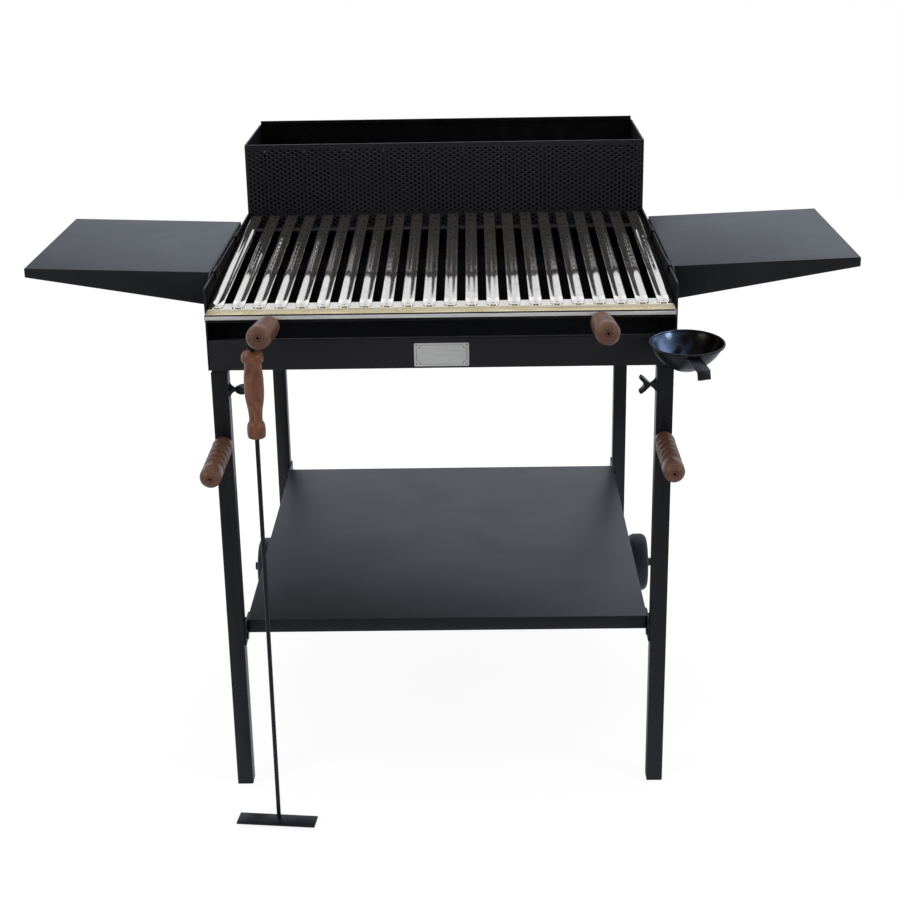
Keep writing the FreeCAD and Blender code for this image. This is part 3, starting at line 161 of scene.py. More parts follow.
class Shader(Tree):
    """A shader tree, with the patterns that finishes are made of."""

    def band(self, value, low, high, out_low=0.0, out_high=1.0):
        """A value's range low to high spread smoothly over out_low to out_high."""
        return self.node("ShaderNodeMapRange", 0, {"interpolation_type": "SMOOTHSTEP"}, i0=value, i1=low,
                         i2=high, i3=out_low, i4=out_high)

    def mix(self, share, first, second):
        return self.node("ShaderNodeMix", 2, {"data_type": "RGBA"}, i0=share, i6=first, i7=second)

    def choice(self, share, first, second):
        """One of two levels, or what lies between them."""
        return self.node("ShaderNodeMix", 0, {"data_type": "FLOAT"}, i0=share, i2=first, i3=second)

    def noise(self, vector, scale, detail=2.0, roughness=0.5, distortion=0.0):
        return self.node("ShaderNodeTexNoise", Vector=vector, Scale=scale, Detail=detail,
                         Roughness=roughness, Distortion=distortion)

    def stretched(self, vector, scale, turn=(0.0, 0.0, 0.0)):
        return self.node("ShaderNodeMapping", Vector=vector, Rotation=turn, Scale=scale)

    def axis(self, vector, index):
        return self.node("ShaderNodeSeparateXYZ", index, (), Vector=vector)

    def group(self, name, **inputs):
        """A placed shader group: its outputs by name."""
        node = self.tree.nodes.new("ShaderNodeGroup")
        node.node_tree = bpy.data.node_groups[name]
        for key, value in inputs.items():
            self.feed(node.inputs[key], value)
        return node.outputs


def shader_group(name, inputs, outputs):
    """An empty shader group with its sockets, the Shader that fills it and its input sockets."""
    tree = bpy.data.node_groups.new(name, "ShaderNodeTree")
    for label, kind, value in inputs:
        socket = tree.interface.new_socket(label, in_out="INPUT", socket_type=kind)
        if value is not None:
            socket.default_value = value
    for label, kind in outputs:
        tree.interface.new_socket(label, in_out="OUTPUT", socket_type=kind)
    entry = tree.nodes.new("NodeGroupInput")
    exit_node = tree.nodes.new("NodeGroupOutput")
    return Shader(tree), entry.outputs, exit_node.inputs


VALUE, VECTOR, COLOUR = "NodeSocketFloat", "NodeSocketVector", "NodeSocketColor"


def build_groups():
    """The effects that several finishes share."""
    # Powder coat: a fine leathery grain, soft clouds of gloss and a few pale dust specks
    shade, given, out = shader_group(
        "Powder coat", [("Vector", VECTOR, None), ("Grain", VALUE, 900.0), ("Cloud", VALUE, 5.0)],
        [("Height", VALUE), ("Clouds", VALUE), ("Dust", VALUE)])
    fine = shade.noise(given["Vector"], given["Grain"], 3.0, 0.6)
    coarse = shade.noise(given["Vector"], shade.times(given["Grain"], 0.28), 2.0)
    shade.feed(out["Height"], shade.plus(fine, shade.times(coarse, 0.8)))
    cloud = shade.noise(given["Vector"], given["Cloud"], 5.0, 0.62, 0.6)
    shade.feed(out["Clouds"], shade.band(cloud, 0.32, 0.7))
    cells = shade.node("ShaderNodeTexVoronoi", 0, {"feature": "F1"}, Vector=given["Vector"], Scale=130.0)
    drift = shade.noise(given["Vector"], 17.0, 3.0)
    speck = shade.band(cells, 0.1, 0.02)
    shade.feed(out["Dust"], shade.times(speck, shade.band(drift, 0.56, 0.72)))

    # Wear: thin scratches that run any way, sparse
    shade, given, out = shader_group(
        "Scratches", [("Vector", VECTOR, None), ("Scale", VALUE, 30.0), ("Amount", VALUE, 0.5)],
        [("Mask", VALUE)])
    parts = []
    for turn, stretch in ((0.4, (1.0, 34.0, 6.0)), (-0.9, (28.0, 1.0, 9.0)), (1.9, (5.0, 1.2, 30.0))):
        bent = shade.stretched(given["Vector"], stretch, (turn, turn * 0.6, turn))
        lines = shade.noise(bent, given["Scale"], 2.0, 0.4, 0.2)
        parts.append(shade.band(shade.math("ABSOLUTE", shade.minus(lines, 0.5)), 0.008, 0.0))
    lines = shade.math("MAXIMUM", parts[0], shade.math("MAXIMUM", parts[1], parts[2]))
    where = shade.band(shade.noise(given["Vector"], 14.0, 3.0), 0.62, 0.5)
    where = shade.minus(1.0, where)
    amount = shade.times(where, given["Amount"])
    shade.feed(out["Mask"], shade.math("MULTIPLY", lines, amount, True))

    # Draw marks: fine lines along one axis of drawn or brushed metal
    shade, given, out = shader_group(
        "Draw marks", [("Vector", VECTOR, None), ("Stretch", VECTOR, (1.0, 0.02, 1.0)),
                       ("Scale", VALUE, 500.0)], [("Lines", VALUE), ("Bands", VALUE)])
    along = shade.node("ShaderNodeVectorMath", 0, {"operation": "MULTIPLY"}, i0=given["Vector"],
                       i1=given["Stretch"])
    shade.feed(out["Lines"], shade.noise(along, given["Scale"], 4.0, 0.7))
    shade.feed(out["Bands"], shade.noise(along, shade.times(given["Scale"], 0.12), 3.0, 0.5))

    # Turned wood: long fibres, growth rings cut along their length, pores and darker grooves
    shade, given, out = shader_group(
        "Turned wood", [("Vector", VECTOR, None), ("Light", COLOUR, (1, 1, 1, 1)),
                        ("Middle", COLOUR, (0.5, 0.5, 0.5, 1)), ("Dark", COLOUR, (0, 0, 0, 1))],
        [("Colour", COLOUR), ("Height", VALUE), ("Sheen", VALUE)])
    core = shade.stretched(given["Vector"], (1.0, 1.0, 0.1))
    shift = shade.noise(core, 90.0, 2.0)
    bent = shade.node("ShaderNodeVectorMath", 0, {"operation": "ADD"}, i0=core,
                      i1=shade.vector(shade.times(shift, 0.004), shade.times(shift, -0.003)))
    rings = shade.node("ShaderNodeTexWave", 1, {"wave_type": "RINGS", "rings_direction": "Z"}, Vector=bent,
                       Scale=105.0, Distortion=0.9, Detail=2.0, Detail_Scale=1.2, Detail_Roughness=0.5)
    fibre = shade.noise(shade.stretched(given["Vector"], (1.0, 1.0, 0.045)), 760.0, 4.0, 0.65)
    pores = shade.noise(shade.stretched(given["Vector"], (1.0, 1.0, 0.07)), 1300.0, 1.0)
    pores = shade.band(pores, 0.66, 0.76)
    cloud = shade.noise(given["Vector"], 34.0, 3.0, 0.55)
    colour = shade.mix(shade.band(rings, 0.0, 1.0, 0.2, 0.8), given["Light"], given["Middle"])
    colour = shade.mix(shade.band(fibre, 0.48, 0.8, 0.0, 0.6), colour, given["Dark"])
    colour = shade.mix(shade.times(shade.band(cloud, 0.45, 0.75), 0.4), colour, given["Dark"])
    colour = shade.mix(shade.times(pores, 0.5), colour, given["Dark"])
    shade.feed(out["Colour"], colour)
    shade.feed(out["Height"], shade.minus(shade.times(fibre, 0.6), pores))
    shade.feed(out["Sheen"], shade.band(cloud, 0.3, 0.7))

    # Heat and fat stains: soft tinted patches with crisp small drops
    shade, given, out = shader_group(
        "Stains", [("Vector", VECTOR, None), ("Scale", VALUE, 60.0)], [("Film", VALUE), ("Drops", VALUE)])
    film = shade.noise(given["Vector"], given["Scale"], 4.0, 0.6, 0.8)
    shade.feed(out["Film"], shade.band(film, 0.5, 0.78))
    cells = shade.node("ShaderNodeTexVoronoi", 0, {"feature": "F1"}, Vector=given["Vector"],
                       Scale=shade.times(given["Scale"], 3.2))
    rare = shade.band(shade.noise(given["Vector"], shade.times(given["Scale"], 0.7), 1.0), 0.6, 0.7)
    shade.feed(out["Drops"], shade.times(shade.band(cells, 0.2, 0.1), rare))


def new_finish(name, own=False):
    """A new material, its Shader and the coordinates that its patterns follow: the object's, or the
    piece's own attribute that runs along it."""
    material = bpy.data.materials.new(name)
    material.use_nodes = True
    shade = Shader(material.node_tree)
    if own:
        return material, shade, shade.node("ShaderNodeAttribute", 1, {"attribute_name": "own"})
    return material, shade, shade.node("ShaderNodeTexCoord", 3)


def rgb(red, green, blue):
    return (red, green, blue, 1.0)


def dressed(material, shade, colour, rough, relief=None, **levels):
    """The material with its colour and roughness, its relief as height, strength and distance, and
    the levels of its other sockets."""
    surface = material.node_tree.nodes["Principled BSDF"]
    levels = {"Base Color": colour, "Roughness": rough, **levels}
    if relief:
        height, strength, distance = relief
        levels["Normal"] = shade.node("ShaderNodeBump", Strength=strength, Distance=distance,
                                      Height=height)
    for name, value in levels.items():
        shade.feed(surface.inputs[name.replace("_", " ")], value)
    return material


def inside_firebox(shade, place):
    """A mask of what stands inside the firebox's sheet."""
    across, deep, high = (shade.axis(place, index) for index in range(3))
    inside = shade.band(shade.math("ABSOLUTE", across), (wall_inner + SHADE_EDGE) * MM, wall_inner * MM)
    behind = shade.band(deep, (front_plane + SHADE_EDGE) * MM, (front_plane + SHADE_EDGE * 2) * MM)
    above = shade.band(high, (box_bottom + SHADE_EDGE) * MM, (box_bottom + SHADE_EDGE * 2) * MM)
    return shade.times(inside, shade.times(behind, above))


def coated(name, dark, pale, gloss, grain=900.0, depth=0.5, painted_shade=0.0):
    """Black powder coat on sheet or tube, with painted shade that darkens it inside the firebox."""
    material, shade, place = new_finish(name)
    dust, scratched = rgb(0.12, 0.115, 0.11), rgb(0.07, 0.07, 0.08)
    coat = shade.group("Powder coat", Vector=place, Grain=grain)
    scratch = shade.group("Scratches", Vector=place, Scale=26.0, Amount=0.35)["Mask"]
    colour = shade.mix(shade.times(coat["Clouds"], 0.5), rgb(*dark), rgb(*pale))
    colour = shade.mix(shade.times(coat["Dust"], 0.4), colour, dust)
    colour = shade.mix(shade.times(scratch, 0.35), colour, scratched)
    rough = shade.band(coat["Clouds"], 0.0, 1.0, gloss - 0.02, gloss + 0.02)
    rough = shade.plus(rough, shade.times(coat["Dust"], 0.3))
    mirrored = COAT_GLOSS
    # Painted shade: inside the firebox the coat turns near-black, in two random tones, and mirrors less
    if painted_shade:
        deepest_shade, lighter_shade = rgb(0.0022, 0.0022, 0.0028), rgb(0.005, 0.0047, 0.0045)
        shaded_share = shade.times(inside_firebox(shade, place), painted_shade)
        drift = shade.noise(place, 40.0, 4.0, 0.6)
        colour = shade.mix(shaded_share, colour, shade.mix(shade.band(drift, 0.4, 0.7), deepest_shade, lighter_shade))
        rough = shade.plus(rough, shade.times(shaded_share, 0.3))
        mirrored = shade.band(shaded_share, 0.0, 1.0, COAT_GLOSS, SHADE_GLOSS)
    return dressed(material, shade, colour, rough, (coat["Height"], depth, 0.0002),
                   Specular_IOR_Level=mirrored)


def stainless(name):
    """Polished stainless sheet with draw marks along the bars, a little film and a few drops."""
    material, shade, place = new_finish(name)
    dull, bright = rgb(0.73, 0.66, 0.55), rgb(0.81, 0.735, 0.63)
    film, burnt = rgb(0.56, 0.5, 0.42), rgb(0.24, 0.19, 0.14)
    marks = shade.group("Draw marks", Vector=place, Stretch=(1.0, 0.012, 0.3), Scale=900.0)
    stain = shade.group("Stains", Vector=place, Scale=45.0)
    drops = shade.group("Stains", Vector=place, Scale=150.0)["Drops"]
    colour = shade.mix(shade.band(marks["Bands"], 0.3, 0.7), dull, bright)
    colour = shade.mix(shade.times(stain["Film"], 0.35), colour, film)
    colour = shade.mix(shade.times(stain["Drops"], 0.35), colour, burnt)
    rough = shade.plus(shade.band(marks["Lines"], 0.3, 0.7, 0.035, 0.06), shade.times(stain["Film"], 0.05))
    rough = shade.plus(rough, shade.times(stain["Drops"], 0.2))
    height = shade.plus(shade.times(marks["Bands"], 1.2), shade.times(drops, 3.0))
    return dressed(material, shade, colour, rough, (height, 0.06, 0.00004), Metallic=0.97)


def fat_film(name):
    """The golden band in the gutter: a film of fat, with a painted warm reflection and cream highlight in its
    colour.
    """
    material, shade, place = new_finish(name)
    # Partly fat film, partly painted reflection: the cream and gold tones stand for warm light that the
    # trough mirrors
    thin, thick, dried = rgb(0.95, 0.88, 0.7), rgb(0.78, 0.7, 0.5), rgb(0.32, 0.26, 0.15)
    film = shade.noise(shade.stretched(place, (0.25, 1.0, 1.0)), 90.0, 4.0, 0.6, 0.6)
    streak = shade.noise(shade.stretched(place, (0.01, 1.0, 1.0)), 700.0, 3.0, 0.6)
    colour = shade.mix(shade.band(film, 0.38, 0.66), thin, thick)
    colour = shade.mix(shade.band(streak, 0.54, 0.7, 0.0, 0.6), colour, dried)
    return dressed(material, shade, colour, shade.band(film, 0.3, 0.7, 0.16, 0.34),
                   (shade.plus(film, streak), 0.25, 0.00012), Metallic=0.4)


def plate_metal(name, pale):
    """Pale brushed plate."""
    material, shade, place = new_finish(name)
    lines = shade.group("Draw marks", Vector=place, Stretch=(0.02, 1.0, 1.0), Scale=1500.0)["Lines"]
    colour = shade.mix(shade.band(lines, 0.3, 0.7), rgb(0.55, 0.55, 0.54), rgb(*pale))
    return dressed(material, shade, colour, shade.band(lines, 0.3, 0.7, 0.32, 0.48),
                   (lines, 0.15, 0.00005), Metallic=0.35)


def plate_print(name):
    """Dark print of the plate's border."""
    material, shade, place = new_finish(name)
    worn = shade.noise(place, 900.0, 3.0, 0.6)
    colour = shade.mix(shade.band(worn, 0.45, 0.75), rgb(0.02, 0.02, 0.024), rgb(0.16, 0.16, 0.16))
    return dressed(material, shade, colour, shade.band(worn, 0.3, 0.7, 0.45, 0.6))


def steel(name, dark, pale, metal, gloss, shine=0.5):
    """Blackened or bare steel with stains and fine scratches."""
    material, shade, place = new_finish(name)
    film = shade.group("Stains", Vector=place, Scale=120.0)["Film"]
    scratch = shade.group("Scratches", Vector=place, Scale=60.0, Amount=0.8)["Mask"]
    colour = shade.mix(film, rgb(*dark), rgb(*pale))
    colour = shade.mix(shade.times(scratch, 0.5), colour, rgb(*[min(1, v * 3) for v in pale]))
    return dressed(material, shade, colour, shade.band(film, 0.0, 1.0, gloss, gloss + 0.18),
                   (shade.noise(place, 1400.0, 3.0, 0.6), 0.25, 0.00012), Metallic=metal,
                   Specular_IOR_Level=shine)


def turned_wood(name, light, middle, dark):
    """Lacquered turned wood."""
    material, shade, place = new_finish(name, own=True)
    wood = shade.group("Turned wood", Vector=place, Light=rgb(*light), Middle=rgb(*middle), Dark=rgb(*dark))
    return dressed(material, shade, wood["Colour"], shade.band(wood["Sheen"], 0.0, 1.0, 0.34, 0.48),
                   (wood["Height"], 0.3, 0.00025), Specular_Tint=rgb(1.0, 0.9, 0.8),
                   Specular_IOR_Level=0.3, Coat_Weight=0.1, Coat_Roughness=0.16)


def blued_steel(name, cool, warm, metal, shine, gloss):
    """Dark bowl sheet with painted light across it: a painted blue reflection on its left side that turns
    brown towards the right.
    """
    material, shade, place = new_finish(name, own=True)
    drift = shade.noise(place, 40.0, 3.0, 0.5, 0.5)
    side = shade.plus(shade.axis(place, 0), shade.times(shade.minus(drift, 0.5), 0.05))
    film = shade.group("Stains", Vector=place, Scale=80.0)["Film"]
    marks = shade.noise(shade.stretched(place, (0.2, 0.2, 1.0)), 900.0, 3.0)
    # Painted reflection: colour goes by the bowl's own x, blue on the left and brown on the right
    colour = shade.mix(shade.band(side, -0.02, 0.012), rgb(*cool), rgb(*warm))
    colour = shade.mix(shade.times(film, 0.5), colour, rgb(*[v * 0.5 for v in warm]))
    return dressed(material, shade, colour, shade.band(marks, 0.3, 0.7, *gloss),
                   (shade.plus(marks, shade.times(film, 0.6)), 0.2, 0.0001), Metallic=metal,
                   Specular_IOR_Level=shine)


def moulded(name, dark, pale, gloss, grain):
    """Moulded rubber or plastic."""
    material, shade, place = new_finish(name)
    coat = shade.group("Powder coat", Vector=place, Grain=grain, Cloud=16.0)
    colour = shade.mix(coat["Clouds"], rgb(*dark), rgb(*pale))
    colour = shade.mix(shade.times(coat["Dust"], 0.6), colour, rgb(0.2, 0.19, 0.17))
    return dressed(material, shade, colour, shade.band(coat["Clouds"], 0.0, 1.0, gloss, gloss + 0.14),
                   (coat["Height"], 0.35, 0.0002), Specular_IOR_Level=0.3)


# Each finish: how it is made, and its values
FINISHES = {
    # The black sheet gets painted shade inside the firebox
    "black_sheet": (coated, dict(dark=(0.0075, 0.0078, 0.0105), pale=(0.0105, 0.0108, 0.0135), gloss=0.44,
                                 painted_shade=0.9)),
    "black_tube": (coated, dict(dark=(0.0065, 0.0068, 0.0095), pale=(0.0095, 0.0098, 0.0125), gloss=0.38,
                                grain=700.0, depth=0.35)),
    "grate_iron": (steel, dict(dark=(0.012, 0.0115, 0.011), pale=(0.035, 0.03, 0.027), metal=0.3, gloss=0.5)),
    "stainless": (stainless, {}),
    # Painted shade: dull near-black steel with stains, for the shadow line on the hem's top, the gutter's
    # undersides and the crossbar under the bars
    "stained_steel": (steel, dict(dark=(0.009, 0.0088, 0.009), pale=(0.028, 0.026, 0.024), metal=0.0,
                                  gloss=0.5, shine=0.07)),
    # Fat film with a painted warm reflection, for the gutter's trough
    "fat_film": (fat_film, {}),
    "plate_print": (plate_print, {}),
    "plate_metal": (plate_metal, dict(pale=(0.72, 0.72, 0.71))),
    # Painted reflection: a pale satin plate on the hem's front face, standing for the light that the polished
    # hem mirrors
    "hem_steel": (plate_metal, dict(pale=(0.86, 0.85, 0.86))),
    "panel_sheet": (coated, dict(dark=(0.012, 0.0118, 0.0145), pale=(0.0185, 0.0175, 0.0195), gloss=0.44)),
    "dark_screws": (steel, dict(dark=(0.014, 0.014, 0.017), pale=(0.032, 0.031, 0.032), metal=0.5,
                                gloss=0.34)),
    "handle_wood": (turned_wood, dict(light=(0.165, 0.08, 0.05), middle=(0.105, 0.047, 0.031),
                                      dark=(0.042, 0.019, 0.013))),
    "rake_wood": (turned_wood, dict(light=(0.23, 0.092, 0.05), middle=(0.135, 0.052, 0.031),
                                    dark=(0.05, 0.019, 0.012))),
    "blued_steel": (blued_steel, dict(cool=(0.006, 0.0075, 0.0115), warm=(0.0075, 0.009, 0.0125), metal=0.0,
                                      shine=0.3, gloss=(0.28, 0.38))),
    # Painted reflection: the bowl's inside, bright blue on its left and dark brown on its right
    "bowl_blue": (blued_steel, dict(cool=(0.14, 0.2, 0.31), warm=(0.014, 0.011, 0.009), metal=0.85, shine=0.5,
                                    gloss=(0.16, 0.25))),
    "bare_steel": (steel, dict(dark=(0.1, 0.1, 0.1), pale=(0.2, 0.19, 0.18), metal=0.8, gloss=0.25)),
    "tyre_rubber": (moulded, dict(dark=(0.0075, 0.0098, 0.015), pale=(0.0115, 0.0145, 0.021), gloss=0.46,
                                  grain=600.0)),
    "hub_plastic": (moulded, dict(dark=(0.007, 0.009, 0.013), pale=(0.011, 0.013, 0.017), gloss=0.38,
                                  grain=500.0)),
}


# Mesh helpers. Points nearer than SAME_POINT metres are one, and faces within FLAT_ANGLE degrees are flat
SAME_POINT = 1e-6
FLAT_ANGLE = 0.5
CREASE = 35.0
NOWHERE = Matrix.Identity(4)


def new_object(name, mesh):
    made = bpy.data.objects.new(name, mesh)
    scene.collection.objects.link(made)
    return made


def add_piece(name, mesh, slot, body, *nodes, material=None):
    """A finished piece: its finish, its body and the nodes that it stands for."""
    made = new_object(name, mesh)
    mesh.materials.clear()
    mesh.materials.append(material or MATERIALS[slot])
    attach(made, body)
    if nodes:
        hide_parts(*nodes)
    return made


def placed(spot, angle=0.0, axis="X"):
    """A place in metres, with a turn about one axis in degrees."""
    return Matrix.Translation(spot) @ Matrix.Rotation(math.radians(angle), 4, axis)


def sized(node):
    """The low and the high corner of a node's box, in millimetres."""
    return (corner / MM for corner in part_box(node))


def middle_of(node):
    """The middle of a node's box, in metres."""
    low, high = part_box(node)
    return (low + high) / 2


def mesh_of(draft, name, outward=True):
    """The finished mesh of a draft, with its faces turned outward."""
    if outward:
        bmesh.ops.recalc_face_normals(draft, faces=draft.faces)
    mesh = bpy.data.meshes.new(name)
    draft.to_mesh(mesh)
    draft.free()
    return mesh


def bridge(draft, near, far):
    """Faces between two closed rings of as many points."""
    after = near[1:] + near[:1], far[1:] + far[:1]
    return [draft.faces.new(corners) for corners in zip(near, after[0], after[1], far)]


def settled(made):
    """An object's mesh with its modifiers applied. The object itself is removed."""
    shown = bpy.context.evaluated_depsgraph_get()
    mesh = bpy.data.meshes.new_from_object(made.evaluated_get(shown))
    bpy.data.objects.remove(made)
    return mesh


def smooth(mesh, angle=40.0):
    """Smooth shading with sharp edges over an angle."""
    mesh.shade_smooth()
    mesh.set_sharp_from_angle(angle=math.radians(angle))
    return mesh


def softened(node, width, steps=2, turn=30.0, material=None):
    """A copy of a CAD node with its edges rounded, as folded sheet and drawn tube have them."""
    draft = bmesh.new()
    draft.from_mesh(frame["nodes"][node].data)
    bmesh.ops.remove_doubles(draft, verts=draft.verts, dist=SAME_POINT)
    bmesh.ops.dissolve_limit(draft, angle_limit=math.radians(FLAT_ANGLE), verts=draft.verts,
                             edges=draft.edges)
    mesh = mesh_of(draft, node + "_soft", False)
    made = new_object("draft", mesh)
    mesh.shade_smooth()
    bevel = made.modifiers.new("edges", "BEVEL")
    bevel.width = width * MM
    bevel.segments = steps
    bevel.limit_method = "ANGLE"
    bevel.angle_limit = math.radians(turn)
    bevel.harden_normals = True
    bevel.miter_outer = "MITER_ARC"
    body = frame["nodes"][node]["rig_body"]
    return add_piece(node + "_part", settled(made), NODE_SLOTS[node], body, node, material=material)


def arc(start, end, radius, turn, steps=8):
    """Points after start up to end on the arc that turns left (1) or right (-1)."""
    start, end = Vector(start), Vector(end)
    chord = end - start
    lift = math.sqrt(max(radius ** 2 - chord.length ** 2 / 4, 0))
    centre = (start + end) / 2 + Vector((-chord.y, chord.x)).normalized() * lift * turn
    first = math.atan2(start.y - centre.y, start.x - centre.x)
    sweep = 2 * math.asin(min(chord.length / 2 / radius, 1)) * turn
    return [(centre.x + radius * math.cos(first + sweep * index / steps),
             centre.y + radius * math.sin(first + sweep * index / steps)) for index in range(1, steps + 1)]


def outline(*corners, steps=8):
    """Points of an outline. A corner is (a, b), or (a, b, radius, turn) at the end of an arc."""
    points = []
    for corner in corners:
        if len(corner) == 2:
            points.append(corner)
        else:
            points += arc(points[-1], corner[:2], corner[2], corner[3], steps)
    return points


def lathe(points, place, sides=72, closed=True):
    """A section (radius, height) turned about Z and put in place, with its own coordinates kept in
    an attribute for patterns that follow it."""
    draft = bmesh.new()
    rings = []
    for radius, height in points:
        if radius < SAME_POINT:
            rings.append([draft.verts.new((0, 0, height * MM))])
            continue
        rings.append([draft.verts.new((radius * MM * math.cos(2 * math.pi * side / sides),
                                       radius * MM * math.sin(2 * math.pi * side / sides), height * MM))
                      for side in range(sides)])
    pairs = list(zip(rings, rings[1:])) + ([(rings[-1], rings[0])] if closed else [])
    for low, high in pairs:
        for side in range(sides):
            after = (side + 1) % sides
            corners = [low[side % len(low)], low[after % len(low)], high[after % len(high)],
                       high[side % len(high)]]
            corners = [v for index, v in enumerate(corners) if v not in corners[:index]]
            if len(corners) > 2:
                draft.faces.new(corners)
    mesh = mesh_of(draft, "turned")
    keep_own(mesh)
    mesh.transform(place)
    return smooth(mesh, CREASE)


def keep_own(mesh, shift=(0, 0, 0)):
    """Keeps the coordinates that a mesh has now in its attribute own."""
    own = mesh.attributes.new("own", "FLOAT_VECTOR", "POINT")
    for index, vertex in enumerate(mesh.vertices):
        own.data[index].vector = vertex.co + Vector(shift)


def drawn(points, start, end, place=NOWHERE, angle=CREASE):
    """An outline (y, z) drawn along X from start to end, its ends closed."""
    draft = bmesh.new()
    ends = [[draft.verts.new((x * MM, y * MM, z * MM)) for y, z in points] for x in (start, end)]
    bridge(draft, *ends)
    for ring in ends:
        draft.faces.new(ring)
    mesh = mesh_of(draft, "drawn")
    mesh.transform(place)
    return smooth(mesh, angle)


def joined(*meshes):
    """Several meshes as one, smoothed anew."""
    draft = bmesh.new()
    for mesh in meshes:
        draft.from_mesh(mesh)
    return smooth(mesh_of(draft, "joined", False), CREASE)


# Geometry node helpers
class Grown(Tree):
    """A geometry tree being built, with named inputs."""

    def __init__(self, name, inputs):
        super().__init__(bpy.data.node_groups.new(name, "GeometryNodeTree"))
        self.sockets = {}
        for label, kind, value in inputs:
            socket = self.tree.interface.new_socket(label, in_out="INPUT", socket_type=kind)
            if value is not None:
                socket.default_value = value
            self.sockets[label] = socket.identifier
        self.tree.interface.new_socket("Geometry", in_out="OUTPUT", socket_type="NodeSocketGeometry")
        self.given = self.tree.nodes.new("NodeGroupInput").outputs
        self.end = self.tree.nodes.new("NodeGroupOutput").inputs[0]

    def close(self, geometry, material):
        """The tree's last nodes: real geometry in one material."""
        real = self.node("GeometryNodeRealizeInstances", Geometry=geometry)
        dressed = self.node("GeometryNodeSetMaterial", Geometry=real, Material=material)
        self.tree.links.new(dressed, self.end)

    def grow(self, values):
        """The mesh that the tree makes with these input values."""
        made = new_object(self.tree.name, bpy.data.meshes.new(self.tree.name))
        modifier = made.modifiers.new("grown", "NODES")
        modifier.node_group = self.tree
        for label, value in values.items():
            modifier[self.sockets[label]] = value
        return settled(made)


FLOAT, INTEGER, OBJECT, MATERIAL = ("NodeSocketFloat", "NodeSocketInt", "NodeSocketObject",
                                    "NodeSocketMaterial")


def row_tree():
    """Copies of one object along a line."""
    grown = Grown("Row", [("Piece", OBJECT, None), ("Count", INTEGER, 2), ("Start", VECTOR, None),
                          ("Step", VECTOR, None), ("Finish", MATERIAL, None)])
    line = grown.node("GeometryNodeMeshLine", 0, {"mode": "OFFSET"}, Count=grown.given["Count"],
                      Start_Location=grown.given["Start"], Offset=grown.given["Step"])
    piece = grown.node("GeometryNodeObjectInfo", 4, (), Object=grown.given["Piece"])
    copies = grown.node("GeometryNodeInstanceOnPoints", Points=line, Instance=piece)
    grown.close(copies, grown.given["Finish"])
    return grown


def in_row(mesh, count, start, step, slot):
    """One mesh repeated along a line, as one mesh. Start and step are in millimetres."""
    pattern = new_object("pattern", mesh)
    values = {"Piece": pattern, "Count": count, "Start": [v * MM for v in start],
              "Step": [v * MM for v in step], "Finish": MATERIALS[slot]}
    made = ROWS.grow(values)
    bpy.data.objects.remove(pattern)
    return made


# Perforated panel
PANEL_SHEET = 2.0
PANEL_HEM = 9.0
HOLE_RADIUS = 2.5
HOLE_PITCH = 8.0
HOLE_COLUMNS = 100
HOLE_ROWS = 17
HOLE_TOP_MARGIN = 8.8
HOLE_SIDES = 12
PANEL_ROUND = 1.0
# Columns lie closer than holes by this share, and seams under SEAM metres are merged
COLUMN_SHARE = math.sin(math.radians(60))
SEAM = 0.00001


